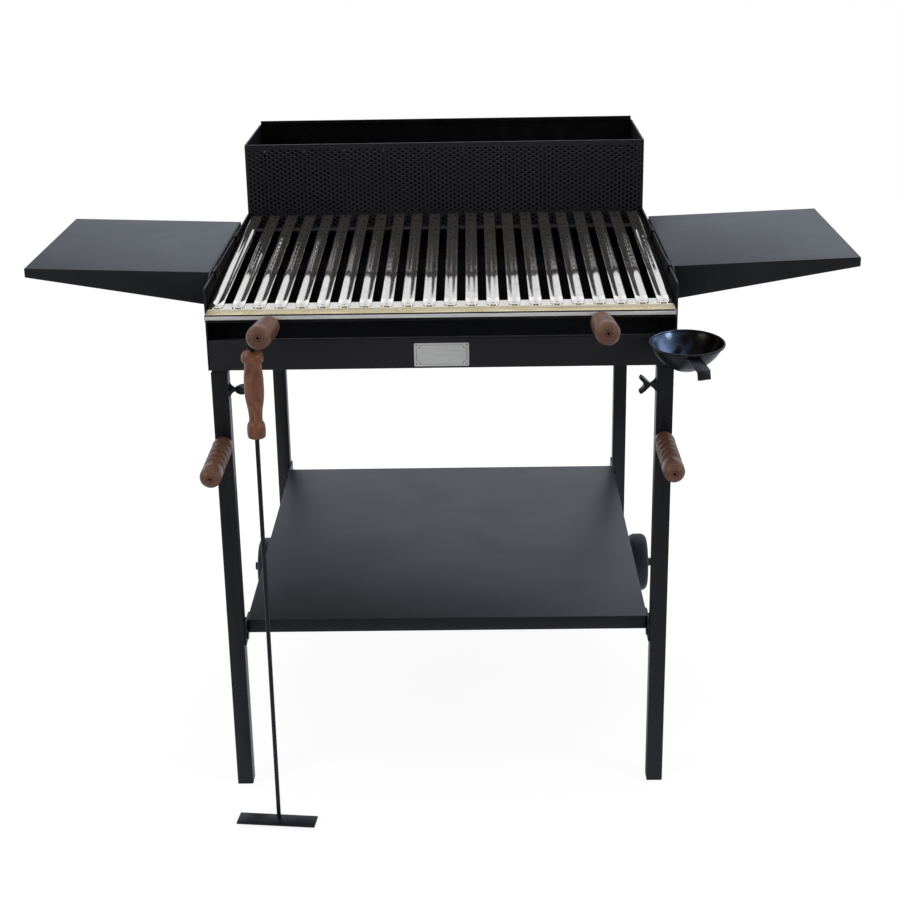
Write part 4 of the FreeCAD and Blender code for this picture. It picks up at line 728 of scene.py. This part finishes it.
def perforation_tree():
    """A flat sheet with staggered round holes: strips of one column each, between two plain edges."""
    grown = Grown("Perforations", [
        ("Width", FLOAT, 1.0), ("Height", FLOAT, 1.0), ("Sheet", FLOAT, 0.01), ("Hole Radius", FLOAT, 0.01),
        ("Pitch", FLOAT, 0.01), ("Columns", INTEGER, 2), ("Rows", INTEGER, 2), ("Top Margin", FLOAT, 0.01),
        ("Sides", INTEGER, 12), ("Finish", MATERIAL, None)])
    given = grown.given
    spacing = grown.times(given["Pitch"], COLUMN_SHARE)
    pairs = grown.math("DIVIDE", given["Columns"], 2.0)
    field = grown.times(spacing, given["Columns"])
    highest = grown.minus(grown.math("DIVIDE", given["Height"], 2.0),
                         grown.plus(given["Top Margin"], given["Hole Radius"]))
    first = grown.math("DIVIDE", grown.minus(spacing, field), 2.0)
    hole = grown.node("GeometryNodeCurvePrimitiveCircle", Resolution=given["Sides"],
                      Radius=given["Hole Radius"])
    edge = grown.node("GeometryNodeCurvePrimitiveQuadrilateral", Width=spacing, Height=given["Height"])
    columns = []
    for share in (0.0, 1.0):
        top = grown.minus(highest, grown.times(given["Pitch"], share / 2))
        spots = grown.node("GeometryNodeMeshLine", 0, {"mode": "OFFSET"}, Count=given["Rows"],
                           Start_Location=grown.vector(y=top),
                           Offset=grown.vector(y=grown.times(given["Pitch"], -1.0)))
        holes = grown.node("GeometryNodeInstanceOnPoints", Points=spots, Instance=hole)
        holes = grown.node("GeometryNodeRealizeInstances", Geometry=holes)
        strip = grown.node("GeometryNodeFillCurve",
                           Curve=grown.node("GeometryNodeJoinGeometry", Geometry=[edge, holes]))
        start = grown.plus(first, grown.times(spacing, share))
        places = grown.node("GeometryNodeMeshLine", 0, {"mode": "OFFSET"}, Count=pairs,
                            Start_Location=grown.vector(x=start),
                            Offset=grown.vector(x=grown.times(spacing, 2.0)))
        columns.append(grown.node("GeometryNodeInstanceOnPoints", Points=places, Instance=strip))
    margin = grown.math("DIVIDE", grown.minus(given["Width"], field), 2.0)
    plain = grown.node("GeometryNodeMeshGrid", Size_X=margin, Size_Y=given["Height"], Vertices_X=2,
                       Vertices_Y=2)
    aside = grown.math("DIVIDE", grown.plus(field, margin), 2.0)
    sides = [grown.node("GeometryNodeTransform", Geometry=plain, Translation=grown.vector(
        x=grown.times(aside, way))) for way in (-1.0, 1.0)]
    face = grown.node("GeometryNodeJoinGeometry", Geometry=columns + sides)
    face = grown.node("GeometryNodeRealizeInstances", Geometry=face)
    face = grown.node("GeometryNodeMergeByDistance", Geometry=face, Distance=SEAM)
    deep = grown.node("GeometryNodeExtrudeMesh", Mesh=face, Offset_Scale=given["Sheet"],
                      Individual=False)
    back = grown.node("GeometryNodeFlipFaces", Mesh=face)
    whole = grown.node("GeometryNodeJoinGeometry", Geometry=[deep, back])
    whole = grown.node("GeometryNodeMergeByDistance", Geometry=whole, Distance=SEAM)
    grown.close(whole, given["Finish"])
    return grown


def perforated_sheet():
    """The perforated sheet, standing in its place."""
    low, high = sized("perforated_panel")
    mesh = perforation_tree().grow({
        "Width": (high.x - low.x) * MM, "Height": (high.z - low.z) * MM, "Sheet": PANEL_SHEET * MM,
        "Hole Radius": HOLE_RADIUS * MM, "Pitch": HOLE_PITCH * MM, "Columns": HOLE_COLUMNS,
        "Rows": HOLE_ROWS, "Top Margin": HOLE_TOP_MARGIN * MM, "Sides": HOLE_SIDES,
        "Finish": MATERIALS["black_sheet"]})
    place = Vector(((low.x + high.x) / 2, low.y + PANEL_SHEET, (low.z + high.z) / 2)) * MM
    mesh.transform(Matrix.Translation(place) @ Matrix.Rotation(math.radians(90), 4, "X"))
    return smooth(mesh, 50)


def build_panel():
    low, high = sized("perforated_panel")
    hem_back = low.y + PANEL_SHEET * 2
    hem = drawn(outline((low.y + PANEL_SHEET, high.z - PANEL_HEM), (hem_back, high.z - PANEL_HEM),
                        (hem_back, high.z - PANEL_ROUND), (hem_back - PANEL_ROUND, high.z, PANEL_ROUND, 1),
                        (low.y + PANEL_SHEET, high.z)), low.x, high.x)
    add_piece("perforated_sheet", perforated_sheet(), "black_sheet", "root", "perforated_panel",
              material=MATERIALS["panel_sheet"])
    add_piece("panel_hem", hem, "black_sheet", "root", material=MATERIALS["panel_sheet"])


# Grill bars
BAR_WIDTH = 19.0
BAR_SHEET = 1.5
BAR_TROUGH = 0.8
BAR_RIM = 1.0
BAR_OVERHANG = 0.5
BAR_ROUND = 8.0
BAR_COUNT = 22
BAR_STEP = 31.5
BAR_FIRST = -332.1
BAR_BACK = 532.0
TONGUE_FLAT = 14.0
TONGUE_END = 34.0
# Where the bar's sections lie along its round front end, and how many follow in its two other stretches
ROUND_ROWS = (0.0, 0.3, 1.0, 2.0, 3.4, 5.2, 8.0)
EASE_ROWS, BAR_ROWS, BAR_COLUMNS = 8, 12, 24
BAR_EDGE, EDGE_SHARE = 0.35, 0.3
LEAST_HALF = 0.6
# The drop of weld on each bar, and its place on it
WELD_OUTLINE = ((0, 0.25), (0.9, 0.25), (1.5, 0.12), (1.9, -0.1), (0, -0.1))
WELD_PLACE = 8.0


def spread(start, end, steps):
    """As many places as steps, evenly after start and up to end."""
    return [start + (end - start) * index / steps for index in range(1, steps + 1)]


def bar_section(along):
    """A bar's closed section (x, z) at a distance from its front end."""
    narrow = BAR_ROUND - math.sqrt(max(BAR_ROUND ** 2 - max(BAR_ROUND - along, 0) ** 2, 0))
    wide = max(BAR_WIDTH / 2 - narrow, LEAST_HALF)
    depth = min(max((along - TONGUE_FLAT) / (TONGUE_END - TONGUE_FLAT), 0), 1)
    depth = depth * depth * (3 - 2 * depth)
    upper = []
    for index in range(BAR_COLUMNS + 1):
        share = 2 * index / BAR_COLUMNS - 1
        reach = min(abs(share) * wide / (BAR_WIDTH / 2 - BAR_RIM), 1)
        upper.append((share * (wide - BAR_EDGE),
                      -BAR_TROUGH + depth * BAR_TROUGH * (1 - math.cos(math.pi * reach)) / 2))
    lower = [(x, z - BAR_SHEET) for x, z in reversed(upper)]
    top, corner = upper[-1][1], BAR_EDGE * EDGE_SHARE
    edge = [(wide - corner, top - corner), (wide, top - BAR_EDGE), (wide, top - BAR_SHEET + BAR_EDGE),
            (wide - corner, top - BAR_SHEET + corner)]
    return upper + edge + lower + [(-x, z) for x, z in reversed(edge)]


def bar_mesh():
    """One channel bar along Y, its middle on x = 0: a shallow trough that flattens into a rounded
    tongue at its front end."""
    rows = [*ROUND_ROWS, TONGUE_FLAT, *spread(TONGUE_FLAT, TONGUE_END, EASE_ROWS),
            *spread(TONGUE_END, BAR_BACK + BAR_OVERHANG, BAR_ROWS)]
    draft = bmesh.new()
    rings = [[draft.verts.new((x * MM, (along - BAR_OVERHANG) * MM, z * MM)) for x, z in bar_section(along)]
             for along in rows]
    for near, far in zip(rings, rings[1:]):
        bridge(draft, near, far)
    draft.faces.new(rings[0])
    draft.faces.new(rings[-1])
    return smooth(mesh_of(draft, "bar"), 50)


def build_bars():
    weld = lathe(WELD_OUTLINE, NOWHERE, 14, False)
    for name, mesh, start, slot, nodes in (
            ("channel_bars", bar_mesh(), (BAR_FIRST, 0, 0), "stainless", ["grill_bars"]),
            ("spot_welds", weld, (BAR_FIRST, WELD_PLACE, -BAR_TROUGH), "dark_screws", [])):
        row = in_row(mesh, BAR_COUNT, start, (BAR_STEP, 0, 0), "stainless")
        row.transform(on_slope)
        add_piece(name, row, slot, "grill", *nodes)


# Gutter along the grill's front, with its rolled hem
STRIP_BACK, STRIP_FRONT = 24.0, 4.0
FRAME_SHEET = 1.5
FRAME_TOP = -BAR_SHEET - BAR_TROUGH
GUTTER_FLOOR = -12.0
GUTTER_SLANT, GUTTER_FRONT, GUTTER_RISE = 3.0, 33.0, 2.0
HEM_RADIUS, HEM_DROP = 3.0, 3.8
# How far each fold reaches past its line, how far it drops or rises, and its radius
STRIP_FOLD, SLANT_FOLD, FRONT_FOLD = (0.43, 1.05, 1.5), (1.4, 1.6, 1.6), (0.4, 1.2, 1.3)
GUTTER_LEFT, GUTTER_RIGHT = -343.5, 342.0


def gutter_section():
    """The sheet's section: its upper line from the rear to the hem, and back along its lower line."""
    fold = FRAME_SHEET * 0.8
    hem = -(GUTTER_FRONT + GUTTER_RISE + HEM_RADIUS)
    small = HEM_RADIUS - FRAME_SHEET
    top, floor = FRAME_TOP, GUTTER_FLOOR
    slant = STRIP_FRONT + GUTTER_SLANT
    hem_low = -HEM_RADIUS - HEM_DROP
    over, drop, strip_round = STRIP_FOLD
    run, rise, slant_round = SLANT_FOLD
    lean, climb, front_round = FRONT_FOLD
    return outline(
        (STRIP_BACK, top - FRAME_SHEET), (STRIP_BACK, top), (2.0 - STRIP_FRONT, top),
        (1.0 - STRIP_FRONT, top), (-STRIP_FRONT - over, top - drop, strip_round, 1),
        (0.5 - slant, floor + rise), (-run - slant, floor, slant_round, -1),
        (climb - GUTTER_FRONT, floor), (-GUTTER_FRONT - lean, floor + climb, front_round, -1),
        (hem + HEM_RADIUS, -HEM_RADIUS), (hem, 0, HEM_RADIUS, 1),
        (hem - HEM_RADIUS, -HEM_RADIUS, HEM_RADIUS, 1),
        (hem - HEM_RADIUS, hem_low), (hem - small, hem_low), (hem - small, -HEM_RADIUS),
        (hem, -FRAME_SHEET, small, -1), (hem + small, -HEM_RADIUS, small, -1),
        (-GUTTER_FRONT - fold, floor - FRAME_SHEET), (-slant + fold, floor - FRAME_SHEET),
        (fold - STRIP_FRONT, top - FRAME_SHEET), steps=6)


def build_gutter():
    gutter = drawn(gutter_section(), GUTTER_LEFT, GUTTER_RIGHT, on_slope, 30)
    made = add_piece("gutter_sheet", gutter, "stainless", "grill", "grill_gutter")
    for finish in ("fat_film", "stained_steel", "hem_steel"):
        made.data.materials.append(MATERIALS[finish])
    flat = on_slope.inverted()
    hem = GUTTER_FRONT + GUTTER_RISE + HEM_RADIUS
    for face in made.data.polygons:
        middle = flat @ face.center / MM
        facing = flat.to_3x3() @ face.normal
        # The trough's upper faces: fat film with painted reflection
        if -hem < middle.y < -STRIP_FRONT and middle.z > GUTTER_FLOOR - 0.5 and facing.z > -0.1:
            face.material_index = 1
        # Painted shade: the hem's top faces make a dark shadow line
        elif middle.y < -hem and facing.z > 0.45:
            face.material_index = 2
        # Painted reflection: the hem's front faces
        elif middle.y < -hem:
            face.material_index = 3
        # Painted shade: the gutter's undersides
        elif middle.z < FRAME_TOP - FRAME_SHEET:
            face.material_index = 2
    softened("gutter_ends", 0.3)
    # The crossbar under the bars is darkened with painted shade
    softened("grill_crossbar", 0.4, material=MATERIALS["stained_steel"])


# Wooden handles
HANDLE_BORE, BORE_DEPTH = 2.0, 11.5
RING_RADIUS, RING_DEPTH, RING_STEP = 4.4, 0.8, 0.3
DOME, DOME_DROP, MOUTH_ROUND = 12.5, 0.2, 0.5
HANDLE_SIDES = 80
# The rake's handle as it is turned: a collar, a long belly, a neck and a knob on top
RAKE_CORNERS = (
    (0, 0), (10.2, 0), (13.2, 3.2, 3.4, 1), (13.4, 16.0, 60.0, 1), (11.6, 23.0, 16.0, 1),
    (9.9, 26.4, 9.0, -1), (9.8, 30.0), (12.4, 52.0, 110.0, -1), (14.2, 80.0, 120.0, 1),
    (13.2, 100.0, 110.0, 1), (12.4, 112.0), (12.9, 113.4), (14.6, 115.0, 6.0, 1), (16.0, 117.4),
    (16.2, 122.0, 18.0, 1), (15.2, 126.6, 9.0, 1), (12.0, 130.0, 5.0, 1), (0, 130.0))


def ringed_end(radius, length, rounding):
    """The domed free end of a handle, with a raised ring around the mouth of its bore."""
    groove = length - RING_DEPTH * 1.6
    return [(radius, length - rounding), (RING_RADIUS + RING_DEPTH * 2, length - DOME_DROP, DOME, 1),
            (RING_RADIUS + RING_DEPTH, length - RING_STEP), (RING_RADIUS + RING_STEP, groove),
            (RING_RADIUS - RING_STEP, groove), (RING_RADIUS - RING_DEPTH, length - DOME_DROP),
            (RING_RADIUS - RING_DEPTH * 1.5, length), (HANDLE_BORE + MOUTH_ROUND, length),
            (HANDLE_BORE, length - MOUTH_ROUND), (HANDLE_BORE, length - BORE_DEPTH), (0, length - BORE_DEPTH)]


def leg_handle_section():
    """Five barrel lobes between narrow grooves and a rounded end."""
    radius, waist, foot, length, rounding = 16.0, 13.4, 14.0, 150.0, 11.0
    first, step, grooves = 30.0, 20.0, 5
    cut, lip, brim, flat, crown = 0.7, 0.55, 0.3, 0.4, 0.62
    rise = radius - waist
    lobe, long_lobe = ((run * run / 4 + rise * rise) / (rise * 2) for run in (step, first))
    corners = [(0, 0), (foot, 0), (waist + brim, first - cut, long_lobe, 1)]
    for groove in range(grooves):
        height = first + step * groove
        corners += [(waist - lip, height - cut * flat), (waist - lip, height + cut * flat),
                    (waist + brim, height + cut)]
        if groove < grooves - 1:
            corners.append((waist + brim, height + step - cut, lobe, 1))
    last = first + step * grooves
    corners += [(radius - flat, last - step * crown), (radius, last - step / 2)]
    return outline(*corners, *ringed_end(radius, length, rounding), steps=10)


def grip_section():
    """A bead at the root, a waist and a long swell with a rounded end."""
    radius, waist, bead, length, rounding = 17.5, 13.5, 15.0, 140.0, 12.0
    bead_length, swell, step, bead_edge, edge_round = 12.0, 34.0, 0.2, 2.5, 3.2
    return outline((0, 0), (waist, 0), (bead, bead_edge, edge_round, 1),
                   (bead, bead_length - bead_edge, 10.0, 1), (waist + step, bead_length, edge_round, 1),
                   (waist - step, bead_length + 0.8), (radius, bead_length + swell, 150.0, -1),
                   *ringed_end(radius, length, rounding), steps=10)


GRIP_PLACES = {"left": -249.0, "right": 233.0}
GRIP_ROOT, GRIP_HEIGHT, GRIP_TILT = 46.0, 790.0, 8.5
LEG_HANDLE_HEIGHT, LEG_FRONT = 590.0, 2.0


def build_handles():
    def handle(name, section, place, slot, body, node):
        add_piece(name, lathe(section, place, HANDLE_SIDES, False), slot, body, node)

    for side, x in GRIP_PLACES.items():
        root = Vector((x, front_plane - GRIP_ROOT, GRIP_HEIGHT)) * MM
        handle("grip_" + side, grip_section(), placed(root, 90 - GRIP_TILT), "handle_wood", "grill",
               "grill_handle_" + side)
        root = (middle_of("leg_front_" + side).x, (front_plane + LEG_FRONT) * MM, LEG_HANDLE_HEIGHT * MM)
        handle("carry_handle_" + side, leg_handle_section(), placed(root, 90), "handle_wood", "root",
               "leg_handle_" + side)
    root = middle_of("rake_handle")
    root.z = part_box("rake_handle")[0].z
    handle("rake_grip", outline(*RAKE_CORNERS, steps=7), placed(root), "rake_wood", "rake", "rake_handle")


# Drip bowl
BOWL_RIM, BOWL_ROLL, BOWL_DEPTH, BOWL_SHEET, BOWL_FLAT, BOWL_CURVE = 56.0, 2.0, 38.0, 1.5, 18.0, 78.0
# Where the rolled rim begins and ends around its line, and the turn between its points, in degrees
ROLL_START, ROLL_END, ROLL_STEP, ROLL_DROP = -75, 226, 20, 1.4
BOWL_TILT = 4.0
BOLT_RADIUS, BOLT_EDGE, THREAD = 3.0, 0.6, 0.4
NUT_RADIUS, NUT_HEIGHT, NUT_BEVEL, NUT_EDGE = 5.5, 4.0, 0.8, 0.7


def build_bowl_bolt():
    """A bolt along Y with a hexagonal nut at each end, the front one inside the bowl."""
    low, high = sized("bowl_bolt")
    length = high.y - low.y
    place = placed(Vector(((low.x + high.x) / 2, low.y, (low.z + high.z) / 2)) * MM, -90)
    core, face = BOLT_RADIUS - THREAD, NUT_RADIUS - NUT_BEVEL
    pieces = []
    for start in (0, length - NUT_HEIGHT):
        end = start + NUT_HEIGHT
        pieces.append(lathe([(core, start), (face, start), (NUT_RADIUS, start + NUT_EDGE),
                             (NUT_RADIUS, end - NUT_EDGE), (face, end), (core, end)], place, 6))
    tip = BOLT_RADIUS - BOLT_EDGE
    pieces.append(lathe([(0, 0), (tip, 0), (BOLT_RADIUS, BOLT_EDGE), (BOLT_RADIUS, length - BOLT_EDGE),
                         (tip, length), (0, length)], place, 24, False))
    add_piece("bowl_bolt_and_nuts", joined(*pieces), "dark_screws", "bowl", "bowl_bolt",
              material=MATERIALS["bare_steel"])


def build_bowl():
    low, high = sized("drip_bowl")
    line = BOWL_RIM - BOWL_ROLL
    points = outline((0, -BOWL_DEPTH), (BOWL_FLAT, -BOWL_DEPTH), (line, 0, BOWL_CURVE, 1), steps=24)
    rim = [(line + BOWL_ROLL * math.cos(math.radians(a)), BOWL_ROLL * math.sin(math.radians(a)))
           for a in range(ROLL_START, ROLL_END, ROLL_STEP)]
    inner = outline((line - BOWL_SHEET, -ROLL_DROP),
                    (BOWL_FLAT - BOWL_SHEET / 2, BOWL_SHEET - BOWL_DEPTH, BOWL_CURVE - BOWL_SHEET, -1),
                    (0, BOWL_SHEET - BOWL_DEPTH), steps=24)
    rim_height = high.z - line * math.sin(math.radians(BOWL_TILT)) - BOWL_ROLL
    place = placed(Vector(((low.x + high.x) / 2, (low.y + high.y) / 2, rim_height)) * MM, BOWL_TILT)
    bowl = lathe(points[:-1] + rim + inner, place, 96, False)
    made = add_piece("bowl_shell", bowl, "blued_steel", "bowl", "drip_bowl")
    made.data.materials.append(MATERIALS["bowl_blue"])
    # The inside faces take the painted blue reflection
    upright = place.inverted()
    for face in made.data.polygons:
        middle = upright @ face.center
        facing = upright.to_3x3() @ face.normal
        if facing.z > 0 and (facing.xy.dot(middle.xy) < 0 or middle.xy.length < BOWL_FLAT * MM):
            face.material_index = 1
    strap = softened("bowl_strap", 0.5)
    keep_own(strap.data, -place.translation)
    build_bowl_bolt()
    softened("bowl_bracket", 0.5)


# Wing screws and their weld nuts
WING_HALF_DEPTH, WING_MIDDLE, WING_REACH, WING_LEAST = 6.2, 17.5, 10.5, 0.2
WING_OUTLINE = ((9.0, 2.7), (11.0, 4.2), (13.0, 5.8), (15.6, 8.4), (19.0, 11.4), (22.4, 13.8), (23.6, 13.9),
                (25.8, 11.0), (25.6, 9.8), (22.4, 7.2), (20.0, 4.4), (18.7, 1.5))
SCREW_NECK = 2.7
NUT_OUTLINE = ((SCREW_NECK, 0), (11.5, 0), (10.5, 0.9), (8.1, 2.5), (6.1, 4.3), (4.7, 5.8), (4.1, 7.0),
               (4.0, 8.0), (SCREW_NECK, 8.0))
NECK_CORNERS = ((0, -4.0), (SCREW_NECK, -4.0), (SCREW_NECK, 10.0), (5.2, 13.0, 4.5, -1), (5.4, 15.0),
                (3.0, 18.0, 4.0, 1), (0, 18.4))
# The way that each screw points, and how far its ears are turned
WING_TURNS = {"left": (1, 84.0), "right": (-1, 4.0)}


def build_wing_screws():
    """A flared nut on each front leg's inner face, and a screw with two ears that spread outward."""
    nuts = []
    for side, (way, turn) in WING_TURNS.items():
        spot = middle_of("leg_front_" + side)
        spot.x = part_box("leg_front_" + side)[1 if way > 0 else 0].x
        spot.z = middle_of("wing_screw_" + side).z
        place = placed(spot, 90 * way, "Y")
        nuts.append(lathe(NUT_OUTLINE, place, 40))
        ears = drawn(list(WING_OUTLINE) + [(out, -up) for out, up in reversed(WING_OUTLINE)],
                     -WING_HALF_DEPTH, WING_HALF_DEPTH, NOWHERE, 40)
        for vertex in ears.vertices:
            share = (vertex.co.y / MM - WING_MIDDLE) / WING_REACH
            vertex.co.x *= math.sqrt(max(1 - share * share, WING_LEAST))
        ears.transform(placed(spot, turn) @ Matrix.Rotation(math.radians(-90 * way), 4, "Z"))
        neck = lathe(outline(*NECK_CORNERS), place, 32, False)
        add_piece("screw_with_ears_" + side, joined(ears, neck), "dark_screws", "wing_" + side,
                  "wing_screw_" + side)
    add_piece("flared_nuts", joined(*nuts), "dark_screws", "root", "weld_nuts")


# Name plate: a plain border line whose corners turn inward
PLATE_INSET, PLATE_LINE, PLATE_CORNER, PLATE_PRINT = 3.0, 0.7, 6.0, 0.04


def build_plate():
    softened("front_lip", 0.6, material=MATERIALS["panel_sheet"])
    softened("name_plate", 0.2)
    low, high = sized("name_plate")
    left, right = low.x + PLATE_INSET, high.x - PLATE_INSET
    bottom, top = low.z + PLATE_INSET, high.z - PLATE_INSET
    turn = PLATE_CORNER
    points = outline((left + turn, top), (right - turn, top), (right, top - turn, turn, 1),
                     (right, bottom + turn), (right - turn, bottom, turn, 1), (left + turn, bottom),
                     (left, bottom + turn, turn, 1), (left, top - turn), (left + turn, top, turn, 1))[:-1]
    middle = Vector(((left + right) / 2, (bottom + top) / 2))
    draft = bmesh.new()
    rings = []
    for share in (1.0, 0.0):
        ring = []
        for x, z in points:
            inward = (middle - Vector((x, z))).normalized() * PLATE_LINE * share
            ring.append(draft.verts.new(((x + inward.x) * MM, (low.y - PLATE_PRINT) * MM,
                                         (z + inward.y) * MM)))
        rings.append(ring)
    for face in bridge(draft, *rings):
        face.normal_update()
        if face.normal.y > 0:
            face.normal_flip()
    add_piece("plate_border", mesh_of(draft, "border", False), "plate_metal", "root",
              material=MATERIALS["plate_print"])


# Wheels
TYRE_RADIUS, WHEEL_WIDTH, TYRE_BORE = 58.0, 36.0, 40.0
TREAD_EDGE, SIDE_FLAT, SIDE_DEPTH = 11.0, 12.0, 5.5
HUB_BORE, HUB_LENGTH, BOSS, RIM_INNER, RIM_INSET, WEB = 5.1, 41.0, 15.0, 36.0, 4.0, 8.0


def tyre_section():
    """A tyre with a slightly crowned tread and flat sides."""
    edge, width = 0.4, WHEEL_WIDTH
    side, shoulder = TYRE_RADIUS - SIDE_FLAT, TYRE_RADIUS - 2
    return outline(
        (TYRE_BORE, edge), (TYRE_BORE + edge, 0), (side, 0), (shoulder, SIDE_DEPTH, 10.0, 1),
        (TYRE_RADIUS, TREAD_EDGE, 16.0, 1), (TYRE_RADIUS, width - TREAD_EDGE),
        (shoulder, width - SIDE_DEPTH, 16.0, 1), (side, width, 10.0, 1), (TYRE_BORE + edge, width),
        (TYRE_BORE, width - edge), steps=8)


def hub_section():
    """A hub with a boss about the axle, a thin web and a rim that carries the tyre."""
    low_web, high_web = (WHEEL_WIDTH - WEB) / 2, (WHEEL_WIDTH + WEB) / 2
    fillet = 3.0
    near, far = RIM_INSET, WHEEL_WIDTH - RIM_INSET
    return outline(
        (HUB_BORE, 0), (13.6, 0), (BOSS, 1.4, 1.4, 1), (BOSS, low_web - 2), (17.0, low_web, 2.0, -1),
        (RIM_INNER - fillet, low_web), (RIM_INNER, low_web - fillet, fillet, -1), (RIM_INNER, near),
        (TYRE_BORE, near), (TYRE_BORE, far), (RIM_INNER, far), (RIM_INNER, high_web + fillet),
        (RIM_INNER - fillet, high_web, fillet, -1), (24.0, high_web), (20.0, high_web + 2.0, 5.0, -1),
        (10.6, HUB_LENGTH - 1.0), (9.6, HUB_LENGTH, 1.4, 1), (HUB_BORE, HUB_LENGTH), steps=6)


def build_wheels():
    for side, face in (("left", -1), ("right", 1)):
        spot = middle_of("wheel_tyre_" + side)
        spot.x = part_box("wheel_tyre_" + side)[0 if face > 0 else 1].x
        place = placed(spot, 90 * face, "Y")
        body = "wheel_" + side
        add_piece("tyre_" + side, lathe(tyre_section(), place, 120), "tyre_rubber", body,
                  "wheel_tyre_" + side)
        add_piece("hub_" + side, lathe(hub_section(), place, 96), "hub_plastic", body, "wheel_hub_" + side)


# Floor and light
FLOOR_REACH, FLOOR_GREY = 30.0, 0.86
# What surfaces mirror of the floor and of the backdrop: levels in front of the object and behind it
FLOOR_MIRRORED = (-1.3, 0.5, 0.16, 1.0)
BACKDROP_MIRRORED = (-0.5, 0.25, 0.22, 1.0)
FILL_LIGHT = 0.55
# Each lamp's place, size and power. All aim at the middle of the object.
LAMPS = {
    "overhead": ((0.2, 0.3, 3.2), (2.6, 1.8), 44.0),
    "left front": ((-2.6, -2.2, 2.2), (1.4, 1.6), 20.0),
    "right front": ((2.8, -2.0, 1.9), (0.9, 1.2), 14.0),
}
LAMP_AIM = Vector((0, 0, 0.7))
CAMERA_RAY, GLOSSY_RAY = 0, 3


def build_floor():
    """A white floor that keeps the object's soft shadow."""
    floor = bpy.data.meshes.new("floor")
    reach = FLOOR_REACH
    floor.from_pydata([(-reach, -reach, 0), (reach, -reach, 0), (reach, reach, 0), (-reach, reach, 0)], [],
                      [(0, 1, 2, 3)])
    floor_object = new_object("floor", floor)
    material, shade, place = new_finish("floor")
    dressed(material, shade, rgb(FLOOR_GREY, FLOOR_GREY, FLOOR_GREY), 0.9)
    ray = shade.node("ShaderNodeLightPath", CAMERA_RAY)
    glossy = shade.node("ShaderNodeLightPath", GLOSSY_RAY)
    mirrored = shade.band(shade.axis(place, 1), *FLOOR_MIRRORED)
    white = shade.node("ShaderNodeEmission", Color=shade.mix(ray, rgb(*COOL_LIGHT), rgb(1, 1, 1)),
                       Strength=shade.choice(ray, mirrored, FLOOR_WHITE))
    nodes = material.node_tree.nodes
    mixed = shade.node("ShaderNodeMixShader", i0=shade.times(shade.math("MAXIMUM", ray, glossy), 0.8),
                       i1=nodes["Principled BSDF"].outputs[0], i2=white)
    shade.feed(nodes["Material Output"].inputs["Surface"], mixed)
    floor.materials.append(material)


def build_world():
    world = bpy.data.worlds.new("studio")
    scene.world = world
    world.use_nodes = True
    shade = Shader(world.node_tree)
    direction = shade.node("ShaderNodeTexCoord", 0)
    rear = shade.band(shade.axis(direction, 1), *BACKDROP_MIRRORED)
    height = shade.axis(direction, 2)
    rear = shade.times(rear, shade.band(height, *HIGH_BACKDROP))
    rear = shade.times(rear, shade.band(height, *CEILING))
    below = shade.band(height, FLAG_LOW + FLAG_EDGE, FLAG_LOW, FLAG_LEVEL)
    over = shade.band(height, FLAG_HIGH - FLAG_EDGE, FLAG_HIGH, FLAG_LEVEL)
    rear = shade.times(rear, shade.math("MAXIMUM", below, over))
    ray = shade.node("ShaderNodeLightPath", CAMERA_RAY)
    glossy = shade.node("ShaderNodeLightPath", GLOSSY_RAY)
    back = world.node_tree.nodes["Background"].inputs
    shade.feed(back["Strength"], shade.choice(ray, shade.choice(glossy, FILL_LIGHT, rear), 1.0))
    cool = shade.times(glossy, shade.minus(1.0, ray))
    shade.feed(back["Color"], shade.mix(cool, rgb(1, 1, 1), rgb(*COOL_LIGHT)))


def build_lamps():
    for name, (place, size, power) in LAMPS.items():
        light = bpy.data.lights.new(name, "AREA")
        light.shape = "RECTANGLE"
        light.size, light.size_y = size
        light.energy = power
        made = new_object(name, light)
        made.location = place
        made.rotation_mode = "QUATERNION"
        made.rotation_quaternion = (LAMP_AIM - Vector(place)).to_track_quat("-Z", "Y")
        # The steel mirrors the ceiling, not a burnt-out picture of the lamp over it
        made.visible_glossy = name != "overhead"


NODE_SLOTS = {row["node"]: row["material_slot"] for row in frame["record"]["subparts"]}

set_camera()
build_groups()
MATERIALS = {name: make(name, **values) for name, (make, values) in FINISHES.items()}
ROWS = row_tree()
for node, made in frame["nodes"].items():
    made.data.materials.clear()
    made.data.materials.append(MATERIALS[NODE_SLOTS[node]])
build_floor()
build_world()
build_lamps()
build_panel()
build_bars()
build_gutter()
build_handles()
build_bowl()
build_wing_screws()
build_plate()
build_wheels()
for node, width in {
    "side_wall_left": 0.5, "side_wall_right": 0.5, "rear_wall": 0.6,
    "leg_front_left": 2.0, "leg_front_right": 2.0, "leg_rear_left": 2.0, "leg_rear_right": 2.0,
    "bottom_shelf": 0.7, "shelf_brackets": 0.4, "side_shelf_left": 0.8, "side_shelf_right": 0.8,
    "shelf_mount_left": 0.5, "shelf_mount_right": 0.5, "grill_rail_left": 0.4, "grill_rail_right": 0.4,
    "foot_plugs": 0.8, "rear_leg_caps": 0.8, "grate_bars": 0.5, "grate_rests": 0.4, "rake_blade": 0.4,
}.items():
    softened(node, width)
